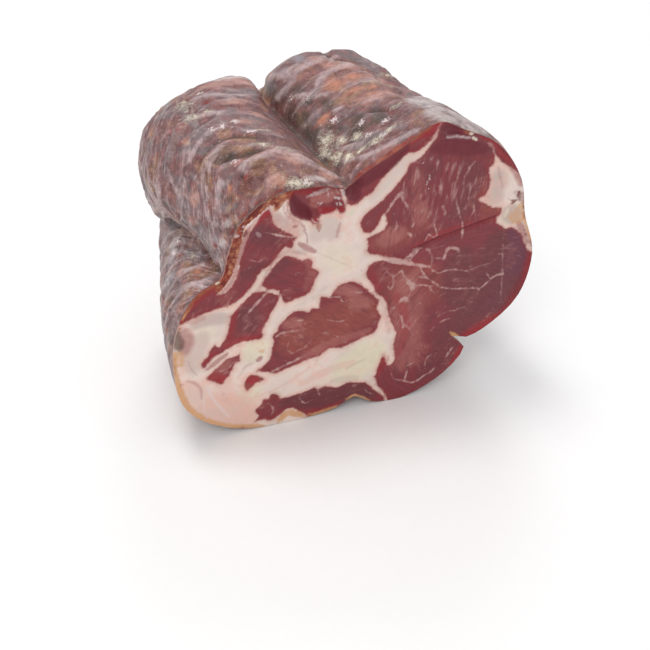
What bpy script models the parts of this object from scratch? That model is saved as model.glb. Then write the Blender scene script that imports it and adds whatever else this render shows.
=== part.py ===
"""A cut coppa: cured pork neck in its dried casing, sliced flat across and standing on its base.

The cut face looks along -Y and the body runs back along +Y to a rounded end. Two lobes lie side by
side on top with a deep groove between them, and a waist on the left parts the upper lobe from the
fat corner below. Sizes are in millimetres until the mesh is written, which is in metres. While it
is worked out, x and z are measured from the left end of the base line of the cut.
"""

import math

import bpy
import numpy as np

METRES = 0.001

# Lengths along the body, from the cut to the rear and over the rounded end
MIDDLE = 28.0
REAR = 54.0
CAP = 18.0
POLE = (20.0, 46.0)
CAP_FULLNESS = 0.85
SLANT = 0.0022
SLANT_AT = 32.0

# How finely the surface is divided
BODY_ROWS = 37
ROW_CROWDING = 1.15
CAP_ROWS = 9
COLUMN_WIDTH = 3.3
FEWEST_SAMPLES = 2
CUT_RINGS = (0.93, 0.82, 0.64, 0.42, 0.2)

# The rim of the cut, and how fast the casing swells behind it
RIM_ROUND = 0.6
SWELL_RAMP = 5.0
CUT_CENTRE = (26.0, 44.0)

# Ridges where the net was tied, by the distance behind the cut at which they cross the crests
NET_RIDGES = (6.5, 13.0, 19.5, 26.5, 35.0, 41.5, 47.0, 53.0, 59.5)
RIDGE_HEIGHT = 1.1
RIDGE_HALF_WIDTH = 1.9

# Folds gathered towards the pole of the rounded end, uneven in their spacing and their depth
GATHERS = 13
GATHER_DEPTH = 1.2
SPACING_SWINGS = 2
SPACING_DRIFT = 2.5
GATHER_BUNCHES = 3
BUNCH_FADING = 0.3

# Every rail runs lengthwise. Its six values are its place (x, z) on the cut, how far the casing
# swells just behind the cut, its place at the middle, its place at the rear, how far the ridges
# trail behind their crossing of the crest, and how strongly they show.
RAILS = {
    "groove": ((19.5, 80), 0.5, (17.5, 80.5), (16, 78), -7, 0.3),
    "groove wall": ((24, 83.5), 0.8, (21.5, 84), (17.5, 84), -4, 0.6),
    "right flank": ((35, 90), 1.5, (30, 90), (22, 90), -2, 1.0),
    "right crest": ((45.5, 96.5), 2.5, (41, 93.4), (33, 93.5), 0, 1.0),
    "right brow": ((54, 93), 5.5, (51, 91.8), (46, 92), -1, 0.9),
    "right shoulder": ((65.6, 87), 3.2, (61.5, 85.5), (57, 85), -6, 0.8),
    "upper side": ((75.6, 74.2), 1.5, (73.5, 73), (69, 69), -8, 0.6),
    "side seam": ((79, 62), 0.5, (78, 58), (74, 54), -6, 0.4),
    "right bulge": ((84.5, 47), 0, (81, 43), (77, 40), -3, 0.6),
    "lower bulge": ((82.5, 32), 0, (79, 29), (75, 27), -2, 0.6),
    "under bulge": ((75, 23.5), 0, (72, 20), (68, 18), 0, 0.4),
    "notch lip": ((66.5, 19.3), 0, (66, 16.5), (63, 14), 0, 0.2),
    "notch": ((61, 21), 0, (62.5, 15), (61, 11), 0, 0.0),
    "notch foot": ((66.2, 15.5), 0, (63, 11.5), (59, 7.5), 0, 0.2),
    "right foot": ((60, 6.5), 0, (56, 4), (52, 2.5), 0, 0.2),
    "base right": ((46, 0), 0, (44, -1), (40, -1), 0, 0.0),
    "dimple side": ((35.5, 1.3), 0, (34, -1), (32, -1), 0, 0.0),
    "dimple": ((30, 4.8), 0, (28, -0.5), (26, -1), 0, 0.0),
    "dimple foot": ((24.5, 1.8), 0, (22, -1), (20, -1), 0, 0.0),
    "base left": ((8, 0), 0, (10, -1), (12, -1), 0, 0.0),
    "left foot": ((-9.5, 2.2), 0, (-5, 1.5), (0, 1.5), 0, 0.1),
    "fat corner": ((-23.4, 12), 0, (-17, 11), (-11, 10), 0, 0.3),
    "fat side": ((-28, 27), 0.5, (-22.5, 25), (-14, 22), 0, 0.5),
    "fat shoulder": ((-27.5, 42), 0.5, (-23.5, 39), (-16, 34), -6, 0.6),
    "fat brow": ((-22, 53), 0.5, (-20, 50), (-16, 42), -14, 0.6),
    "waist": ((-15, 57), 0, (-16, 57), (-15, 45), -24, 0.1),
    "left underside": ((-14, 63), 1, (-20.5, 63), (-21, 54), -21, 0.6),
    "left side": ((-11.5, 71), 2, (-25.5, 71.2), (-24.6, 70.4), -15, 0.9),
    "left shoulder": ((-6, 77.5), 3, (-19.8, 83.7), (-17.2, 85), -5, 1.0),
    "left crest": ((3, 81.5), 4, (-6, 89), (-2.5, 91.2), 0, 1.0),
    "left brow": ((13, 81.5), 3.5, (9, 87), (10.5, 89), -5, 0.9),
}

# Hollows pressed into the casing. Each has its centre (x, y, z), its half length across the body,
# its half length along the body, and its depth.
HOLLOWS = {
    "pit behind the pillow": ((-4, 8, 85), 5.0, 2.2, 2.2),
    "dip on the right flank": ((32, 19, 90), 6.0, 2.4, 1.2),
    "crease above the waist": ((-20, 13, 68), 2.4, 6.0, 1.6),
}

# The torn pocket that the lip of the left lobe hangs over, in the cut
POCKET_CENTRE = (9.5, 76.5)
POCKET_HALF_WIDTH = 8.5
POCKET_HALF_HEIGHT = 3.4
POCKET_DEPTH = 3.2

CASING_COLOUR = (0.17, 0.09, 0.08, 1.0)
CASING_ROUGHNESS = 0.45
CUT_COLOUR = (0.30, 0.06, 0.05, 1.0)
CUT_ROUGHNESS = 0.4
SHARP_FROM_DEGREES = 40


def clear_scene():
    for obj in list(bpy.data.objects):
        bpy.data.objects.remove(obj)


def rail_values(index):
    """One of the six values of every rail, in order round the body."""
    return np.array([rail[index] for rail in RAILS.values()], dtype=float)


def outward(loop):
    """Unit vectors that point out of a clockwise loop of (x, z) points."""
    along = np.roll(loop, -1, axis=0) - np.roll(loop, 1, axis=0)
    out = np.column_stack([-along[:, 1], along[:, 0]])
    return out / np.linalg.norm(out, axis=1)[:, None]


def rails_at(distance):
    """Where the rails are this far behind the cut: a parabola through three places, plus the swell."""
    cut, middle, rear = rail_values(0), rail_values(2), rail_values(3)
    swell = outward(cut) * rail_values(1)[:, None]
    at_cut = (distance - MIDDLE) * (distance - REAR) / (MIDDLE * REAR)
    at_middle = distance * (distance - REAR) / (MIDDLE * (MIDDLE - REAR))
    at_rear = distance * (distance - MIDDLE) / (REAR * (REAR - MIDDLE))
    fade = math.exp(-distance / SWELL_RAMP)
    return at_cut * (cut + swell) + at_middle * middle + at_rear * rear - fade * swell


def samples_per_span():
    cut = rail_values(0)
    spans = np.linalg.norm(np.roll(cut, -1, axis=0) - cut, axis=1)
    return np.maximum(FEWEST_SAMPLES, np.round(spans / COLUMN_WIDTH)).astype(int)


def between(first, last, start, end, place):
    share = (place - start) / (end - start)
    return first * (1 - share) + last * share


def smooth_loop(anchors, extras):
    """A centripetal Catmull-Rom curve round closed anchors, with the extra values carried along."""
    values = np.column_stack([anchors, extras])
    points = []
    for i, samples in enumerate(samples_per_span()):
        near = [(i + step - 1) % len(anchors) for step in range(4)]
        knots = [0.0]
        for start, end in zip(near, near[1:]):
            knots.append(knots[-1] + math.sqrt(np.linalg.norm(anchors[end] - anchors[start])))
        for k in range(samples):
            place = knots[1] + (knots[2] - knots[1]) * k / samples
            level = [values[j] for j in near]
            level = [between(level[j], level[j + 1], knots[j], knots[j + 1], place) for j in range(3)]
            level = [between(level[j], level[j + 1], knots[j], knots[j + 2], place) for j in range(2)]
            points.append(between(level[0], level[1], knots[1], knots[2], place))
    return np.array(points)


def gathered_folds(turn):
    """How the folds rise and fall round the pole, from -1 to 1."""
    spacing = GATHERS * turn + SPACING_DRIFT * np.sin(SPACING_SWINGS * turn)
    return np.cos(spacing) * (1 - BUNCH_FADING * (1 - np.cos(GATHER_BUNCHES * turn)))


def body_rows():
    """Rows of surface points from the cut to the pole, with each point's ridge distance and strength."""
    extras = np.column_stack([rail_values(4), rail_values(5)])
    points, distances, strengths = [], [], []
    for share in np.linspace(0, 1, BODY_ROWS) ** ROW_CROWDING:
        distance = REAR * share
        loop = smooth_loop(rails_at(distance), extras)
        points.append(np.column_stack([loop[:, 0], np.full(len(loop), distance), loop[:, 1]]))
        distances.append(distance - loop[:, 2])
        strengths.append(loop[:, 3] * (1 - math.exp(-distance / SWELL_RAMP)))
    last, last_distance, last_strength = points[-1], distances[-1], strengths[-1]
    pole = np.array([POLE[0], REAR, POLE[1]])
    folds = gathered_folds(np.linspace(0, 2 * math.pi, len(last), endpoint=False))
    for angle in np.linspace(0, math.pi / 2, CAP_ROWS + 1)[1:-1]:
        reach = math.cos(angle) ** CAP_FULLNESS
        row = pole + (last - pole) * reach
        row[:, 1] += CAP * math.sin(angle)
        row[:, 1] -= GATHER_DEPTH * folds * math.sin(2 * angle)
        points.append(row)
        distances.append(last_distance + CAP * angle)
        strengths.append(last_strength * reach)
    return np.array(points), np.array(distances), np.array(strengths)


def surface_normals(points):
    across = np.roll(points, -1, axis=1) - np.roll(points, 1, axis=1)
    along = np.gradient(points, axis=0)
    normals = np.cross(along, across)
    return normals / np.linalg.norm(normals, axis=2)[:, :, None]


def relief(points, distances, strengths):
    """How far the casing stands out: ridges of the net, less the hollows."""
    height = np.zeros(distances.shape)
    for ridge in NET_RIDGES:
        height += np.exp(-(((distances - ridge) / RIDGE_HALF_WIDTH) ** 2))
    height *= RIDGE_HEIGHT * strengths
    for centre, half_across, half_along, depth in HOLLOWS.values():
        offset = points - np.array(centre, dtype=float)
        across = np.hypot(offset[:, :, 0], offset[:, :, 2]) / half_across
        height -= depth * np.exp(-(across**2) - (offset[:, :, 1] / half_along) ** 2)
    return height


def casing_rows():
    points, distances, strengths = body_rows()
    points[:, :, 1] *= 1 + SLANT * (points[:, :, 0] - SLANT_AT)
    points = points + surface_normals(points) * relief(points, distances, strengths)[:, :, None]
    points[0, :, 1] = RIM_ROUND
    points[:, :, 2] = np.maximum(points[:, :, 2], 0)
    return points


def cut_rows(rim):
    """Rings of the flat cut from just inside the rim to the middle, sunk where the pocket is."""
    centre = np.array([CUT_CENTRE[0], 0.0, CUT_CENTRE[1]])
    flat = rim * [1, 0, 1] - centre
    inset = 1 - RIM_ROUND / np.linalg.norm(flat, axis=1)
    rings = [centre + flat * inset[:, None]]
    rings += [centre + flat * share for share in CUT_RINGS]
    for ring in rings:
        across = (ring[:, 0] - POCKET_CENTRE[0]) / POCKET_HALF_WIDTH
        up = (ring[:, 2] - POCKET_CENTRE[1]) / POCKET_HALF_HEIGHT
        ring[:, 1] += POCKET_DEPTH * np.exp(-(across**2) - up**2)
    return rings, centre


def strip(first, second, columns):
    """Two triangles for each column between two rings that start at these vertex numbers."""
    faces = []
    for j in range(columns):
        k = (j + 1) % columns
        faces.append((first + j, first + k, second + k))
        faces.append((first + j, second + k, second + j))
    return faces


def fan(ring, tip, columns, forward):
    pairs = [(ring + j, ring + (j + 1) % columns) for j in range(columns)]
    return [(a, b, tip) if forward else (b, a, tip) for a, b in pairs]


def material(name, colour, roughness):
    made = bpy.data.materials.new(name)
    made.use_nodes = True
    shader = made.node_tree.nodes["Principled BSDF"]
    shader.inputs["Base Color"].default_value = colour
    shader.inputs["Roughness"].default_value = roughness
    made.diffuse_color = colour
    return made


def build_coppa():
    rows = casing_rows()
    columns = rows.shape[1]
    rings, centre = cut_rows(rows[0])
    pole = np.array([POLE[0], (REAR + CAP) * (1 + SLANT * (POLE[0] - SLANT_AT)), POLE[1]])
    points = np.vstack([rows.reshape(-1, 3), pole[None], *rings, centre[None]])
    low, high = points.min(axis=0), points.max(axis=0)
    points -= [(low[0] + high[0]) / 2, (low[1] + high[1]) / 2, low[2]]

    pole_at = rows.shape[0] * columns
    rings_at = pole_at + 1
    faces = []
    for row in range(rows.shape[0] - 1):
        faces += strip(row * columns, (row + 1) * columns, columns)
    faces += fan(pole_at - columns, pole_at, columns, True)
    casing_faces = len(faces)
    faces += strip(rings_at, 0, columns)
    for ring in range(len(rings) - 1):
        faces += strip(rings_at + (ring + 1) * columns, rings_at + ring * columns, columns)
    faces += fan(rings_at + (len(rings) - 1) * columns, len(points) - 1, columns, False)

    mesh = bpy.data.meshes.new("coppa")
    mesh.from_pydata((points * METRES).tolist(), [], faces)
    mesh.materials.append(material("dried casing", CASING_COLOUR, CASING_ROUGHNESS))
    mesh.materials.append(material("cut cured meat", CUT_COLOUR, CUT_ROUGHNESS))
    for polygon in mesh.polygons:
        polygon.material_index = int(polygon.index >= casing_faces)
    mesh.shade_smooth()
    mesh.set_sharp_from_angle(angle=math.radians(SHARP_FROM_DEGREES))
    mesh.update()
    coppa = bpy.data.objects.new("coppa", mesh)
    bpy.context.scene.collection.objects.link(coppa)
    return coppa


clear_scene()
build_coppa()
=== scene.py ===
"""Dresses a cut coppa, a cured pork neck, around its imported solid.

The cut looks along -Y: dark red muscles, each with its own grain, parted by cream fat. The dried
casing behind it is wrinkled and ribbed where the net was tied, stained, and dusted with mould.
Places and sizes in the tables are in millimetres from the left end of the base line of the cut,
x to the right, y into the body and z up, and a mesh is written in metres in the row frame.
"""

import math

import bmesh
import bpy
import numpy as np
from mathutils import Matrix, Vector, geometry, kdtree, noise
from mathutils.bvhtree import BVHTree


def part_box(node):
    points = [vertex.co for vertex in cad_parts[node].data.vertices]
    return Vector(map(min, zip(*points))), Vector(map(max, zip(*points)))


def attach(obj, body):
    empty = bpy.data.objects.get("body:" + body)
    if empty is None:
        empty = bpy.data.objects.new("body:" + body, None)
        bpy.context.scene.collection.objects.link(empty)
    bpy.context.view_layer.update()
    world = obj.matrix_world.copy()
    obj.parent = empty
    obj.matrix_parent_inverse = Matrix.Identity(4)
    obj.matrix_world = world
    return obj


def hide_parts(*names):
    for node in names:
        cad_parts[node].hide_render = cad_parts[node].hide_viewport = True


bl_info = {
    "name": "Cut Coppa",
    "version": (1, 0, 0),
    "blender": (4, 5, 0),
    "location": "View3D > Sidebar > Coppa",
    "description": "Builds a cut coppa: marbled face, ribbed casing and a bloom of mould",
    "category": "Add Mesh",
}

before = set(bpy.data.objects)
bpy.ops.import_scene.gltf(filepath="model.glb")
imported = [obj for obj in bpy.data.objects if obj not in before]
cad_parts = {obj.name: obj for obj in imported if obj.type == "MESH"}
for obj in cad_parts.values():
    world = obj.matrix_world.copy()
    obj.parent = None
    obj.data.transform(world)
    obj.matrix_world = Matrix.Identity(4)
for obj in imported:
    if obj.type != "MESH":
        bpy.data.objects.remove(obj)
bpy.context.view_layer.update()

MM = 0.001
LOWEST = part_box("coppa")[0]

# How far the fat side of the cut stands left of the end of its base line
LEFT_REACH = 28.44
ORIGIN = np.array([LOWEST.x / MM + LEFT_REACH, LOWEST.y / MM, 0.0])

# The line that the casing is measured from: where it starts, where it ends, as (x, z), its length, and
# how far outside it the measuring rays start
CUT_MIDDLE = (26.0, 44.0)
REAR_MIDDLE = (20.5, 46.0)
MIDDLE_LENGTH = 50.0
FAR = 200.0

# How closely the drawn lines are sampled, for outlines and strokes, the seam and the pocket, folds, and
# swells, and how many points are measured against a line at a time
FINE_STEP = 0.25
SEAM_STEP = 0.3
FOLD_STEP = 0.4
SWELL_STEP = 0.8
CHUNK = 2000

# The part of a painted stroke's length over which it thins towards each end
STROKE_TAPER = 0.3

# How the casing is divided. The hidden underside and right side take wider columns. The facets of the
# solid are evened out, with the rim and the row behind it held and the next few let go step by step.
COLUMNS = 430
BODY_ROWS = 68
CAP_ROWS = 42
ROW_CROWDING = 1.12
HIDDEN_TURNS = (215.0, 385.0)
HIDDEN_SHARE = 0.68
RIM_SAMPLES = 3600
HELD_ROWS = 1
LOOSENING_ROWS = 4
EVENING_PASSES = 5
EVENING_ACROSS = 0.75

# The edge of the cut: how far behind its plane the casing ends, how far in and back the narrow edge
# lies, how far in the lip is, and the share of the way out that the cut's own points keep within
RIM = 0.6
EDGE_INSET = 0.15
LIP_INSET = 0.5
CUT_SHARE = 0.985

# The flat cut: the spacing of its points, how far they are shaken off their lattice, how far they keep
# from the drawn lines, and how close two points are one
CUT_STEP = 0.55
CUT_SHAKE = 0.12
LATTICE_SEED = 3
KEEP_OFF = 0.35
SAME_POINT = 1e-5

# How far the net's ribs trail behind their crossing of the crests, by the turn round the body in
# degrees, counter-clockwise from the right as seen from the cut
RIB_LAG = (
    (3, -3), (19, -6), (31, -8), (47, -6), (60, -1), (70, 0), (79, -2), (93, -4), (100, -7),
    (109, -5), (121, 0), (134, -5), (144, -15), (155, -21), (162, -24), (169, -14), (182, -6),
    (198, 0), (340, 0),
)
NET_RIBS = (6.5, 13.0, 19.5, 26.5, 35.0, 41.5, 47.0, 53.0, 59.5, 67.0, 74.0)
RIB_HALF_WIDTH = 1.3
RIB_WANDER = 0.9
RIB_WANDER_SIZE = 14.0

# How strongly the fine wrinkles show, by the turn round the body in degrees: most on the left side
WRINKLE_TURNS = (0, 40, 60, 100, 120, 140, 165, 195, 215, 250, 330)
WRINKLE_STRENGTHS = (0.6, 0.6, 0.3, 0.3, 0.35, 0.7, 1.0, 0.6, 0.35, 0.25, 0.4)

# The wrinkles between the ribs: the radius that the flow goes round with, the lumps of the noise that
# bends and makes them, as two sizes round the body and one across the ribs, and the shares of each
FLOW_RADIUS = 48.0
WRINKLE_WANDER = 2.2
WRINKLE_WANDER_SIZE = (16, 16, 9)
WRINKLE_SIZE = (15, 15, 3.0)
FINE_WRINKLE_SIZE = (7, 7, 1.5)
WRINKLE_SHARE = 0.65
FINE_WRINKLE_SHARE = 0.35

# How much of a rib is left where the casing isn't wrinkled, and of a wrinkle on a fold or in a furrow,
# and how much bloom and painted sheen a rib takes beside a fold
RIB_LEAST = 0.5
WRINKLE_LEAST = 0.35
RIB_BLOOM_AND_SHEEN = 0.5

# The casing's low lumps, and how far behind the rim its relief begins and over what length it rises.
# Only the swells act on the rim too.
LUMP_HEIGHT = 0.12
LUMP_SIZE = 5.0
RELIEF_START = 0.3
RELIEF_RISE = 3.0

# Ribs, folds and wrinkles that stand out of the casing: height, half width, and the line they follow
FOLDS = {
    "rear rib": (0.8, 1.5, [(20, 55, 85), (20, 53, 87), (22, 51, 89), (29, 52, 93), (38, 52, 93)]),
    "second rear rib": (0.8, 1.3, [(19, 47, 83), (22, 47, 88), (27, 49, 91), (32, 49, 93), (40, 47, 93)]),
    "middle rib": (0.8, 1.3, [(22, 41, 86), (25, 39, 89), (32, 43, 91), (41, 44, 93), (45, 37, 93)]),
    "front rib": (0.8, 1.3, [(24, 37, 88), (30, 34, 91), (38, 36, 93), (47, 34, 93), (48, 26, 94)]),
    "right ledge": (0.7, 0.9, [(27, 27, 88), (31, 26, 91), (35, 24, 92), (39, 21, 94), (42, 17, 95)]),
    "flank fold": (0.6, 1.0, [(23, 13, 84), (27, 11, 87), (31, 9, 90), (36, 8, 92)]),
    "lip fold": (0.5, 0.9, [(23, 8, 83), (27, 5, 86), (32, 4, 88), (36, 3, 91), (40, 2, 94)]),
    "pink ridge": (1.0, 1.5, [(-7, 9, 85), (-3, 11, 87), (5, 12, 87), (11, 8, 85), (19, 4, 80)]),
    "white ridge": (0.9, 1.2, [
        (-15, 14, 83), (-13, 17, 85), (-7, 18, 88), (1, 15, 88), (7, 12, 87), (12, 8, 85),
    ]),
    "third ridge": (0.6, 1.1, [
        (-18, 20, 82), (-16, 22, 85), (-11, 25, 88), (-4, 25, 89), (1, 22, 89), (8, 20, 87),
    ]),
    "crown ridge": (0.4, 1.0, [(-13, 33, 87), (-7, 33, 89), (0, 31, 90), (7, 29, 89), (13, 28, 87)]),
    "rear crown ridge": (0.4, 1.2, [(-14, 42, 86), (-7, 42, 89), (0, 40, 90), (8, 40, 89)]),
    "pillow rim": (0.7, 1.1, [(-15, 5, 72), (-14, 8, 78), (-13, 9, 81), (-11, 8, 84)]),
    "side fold 1": (0.6, 0.8, [(-25, 40, 67), (-24, 38, 64), (-19, 44, 54)]),
    "side fold 2": (0.9, 0.8, [
        (-22, 29, 79), (-23, 27, 76), (-24, 26, 74), (-24, 24, 71), (-21, 31, 62), (-17, 42, 52),
    ]),
    "side fold 3": (0.9, 0.7, [(-21, 29, 80), (-22, 24, 78), (-22, 18, 76), (-21, 15, 74), (-20, 12, 71)]),
    "side fold 4": (0.8, 0.7, [(-18, 23, 83), (-18, 19, 81), (-18, 17, 79), (-19, 14, 76), (-19, 11, 71)]),
    "side fold 5": (0.9, 0.7, [
        (-14, 16, 83), (-16, 14, 81), (-16, 10, 78), (-17, 8, 75), (-16, 6, 71), (-16, 4, 64),
    ]),
    "side fold 6": (0.7, 0.7, [(-25, 34, 75), (-25, 31, 73), (-25, 26, 72), (-22, 26, 66), (-20, 22, 62)]),
    "side fold 7": (0.7, 0.8, [(-23, 33, 68), (-22, 29, 64), (-19, 24, 61), (-17, 17, 60)]),
    "side fold 8": (0.6, 0.7, [(-18, 13, 74), (-18, 10, 70), (-17, 8, 66), (-16, 6, 61)]),
    "low fold 1": (0.7, 0.9, [(-19, 27, 50), (-21, 27, 45), (-22, 24, 42), (-24, 20, 38), (-26, 14, 33)]),
    "low fold 2": (0.7, 0.9, [(-17, 12, 57), (-19, 17, 53), (-21, 21, 49), (-22, 23, 44)]),
    "low fold 3": (0.8, 1.0, [(-16, 2, 56), (-21, 4, 54), (-24, 7, 49), (-26, 9, 43), (-27, 9, 36)]),
    "low fold 4": (0.5, 0.8, [(-18, 22, 54), (-20, 24, 49), (-21, 32, 46), (-18, 42, 44)]),
    "low fold 5": (0.6, 0.8, [(-17, 8, 57), (-21, 12, 52), (-24, 15, 46), (-26, 16, 40)]),
}

# Furrows pressed into the casing: depth, half width, and the line they follow
FURROWS = {
    "groove": (0.9, 1.2, [(20, 0, 80), (18.6, 16, 80.8), (17.8, 30, 80.6), (17.4, 42, 80), (17, 60, 78)]),
    "waist crease": (1.6, 1.1, [(-22, 19, 68), (-20, 14, 67), (-18, 12, 64), (-16, 10, 60), (-15, 3, 58)]),
    "waist back": (1.2, 1.6, [(-17, 14, 61), (-17, 22, 59), (-17, 32, 55), (-16, 43, 50)]),
    "pillow pit": (1.4, 0.7, [
        (-8.5, 7, 83.7), (-7.6, 8, 85.3), (-5.9, 7.6, 86.3), (-4, 7.4, 86.8), (-1, 7.2, 87),
    ]),
    "behind pink ridge": (1.0, 1.0, [(-13, 16, 84), (-9, 14, 86), (-4, 14, 87), (3, 14, 88)]),
    "behind white ridge": (0.7, 0.9, [(-16, 18, 83), (-11, 21, 87), (-4, 21, 88), (3, 19, 88)]),
    "under right ledge": (1.0, 1.0, [(24, 24, 86), (29, 23, 88), (34, 20, 91), (38, 17, 93)]),
    "rear crease": (1.2, 1.3, [
        (38.6, 62, 89), (37.8, 59, 91), (36.6, 54.5, 92.6), (36, 50.6, 93), (40, 49, 92.6),
        (44, 42.5, 92.3), (46, 35, 93),
    ]),
}

# Where the casing as a whole stands higher or lower than the solid: by how much, half width, and line
SWELLS = {
    "left crown falls": (-1.6, 6.0, [(-18, 51, 81), (-10, 52, 86.5), (0, 54, 88.5), (6, 56, 88)]),
    "left flank falls": (-2.0, 4.5, [(-24.2, 44, 73), (-25, 42, 70), (-25.5, 41, 66)]),
    "left rear flank falls": (-1.4, 4.5, [
        (-23.4, 52, 69.5), (-24.3, 51, 66.5), (-23.8, 50.4, 63), (-23, 48.5, 58.5),
    ]),
    "left rim bulges": (1.6, 3.4, [(-11, 0.6, 73), (-8.6, 0.6, 76), (-5, 0.6, 78.8), (-1, 0.6, 81)]),
    "right crown falls": (-1.5, 4.5, [
        (36, 56, 92.5), (42, 53, 92), (47, 46, 91.5), (48.4, 36, 92), (48, 26, 93),
    ]),
    "right far side falls": (-2.2, 5.5, [
        (53, 56, 88.5), (58, 53, 84.6), (59.4, 45, 85), (58.4, 35, 87.4), (59, 28, 88),
    ]),
    "left lobe bulges": (1.3, 3.5, [(9, 40, 88.4), (10, 46, 88.2), (11, 52, 87)]),
    "behind the groove": (-1.8, 2.4, [(18.4, 58, 81), (18.6, 63, 80)]),
    "right shoulder falls": (-0.9, 3.5, [(48, 24, 93.4), (49, 19, 94)]),
    "right shoulder": (0.3, 4.0, [(46, 18, 95), (48, 12, 95.5), (51, 6, 95.5)]),
    "right side falls": (-0.6, 6.0, [(60, 10, 92), (70, 10, 83), (76, 10, 72)]),
}
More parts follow.
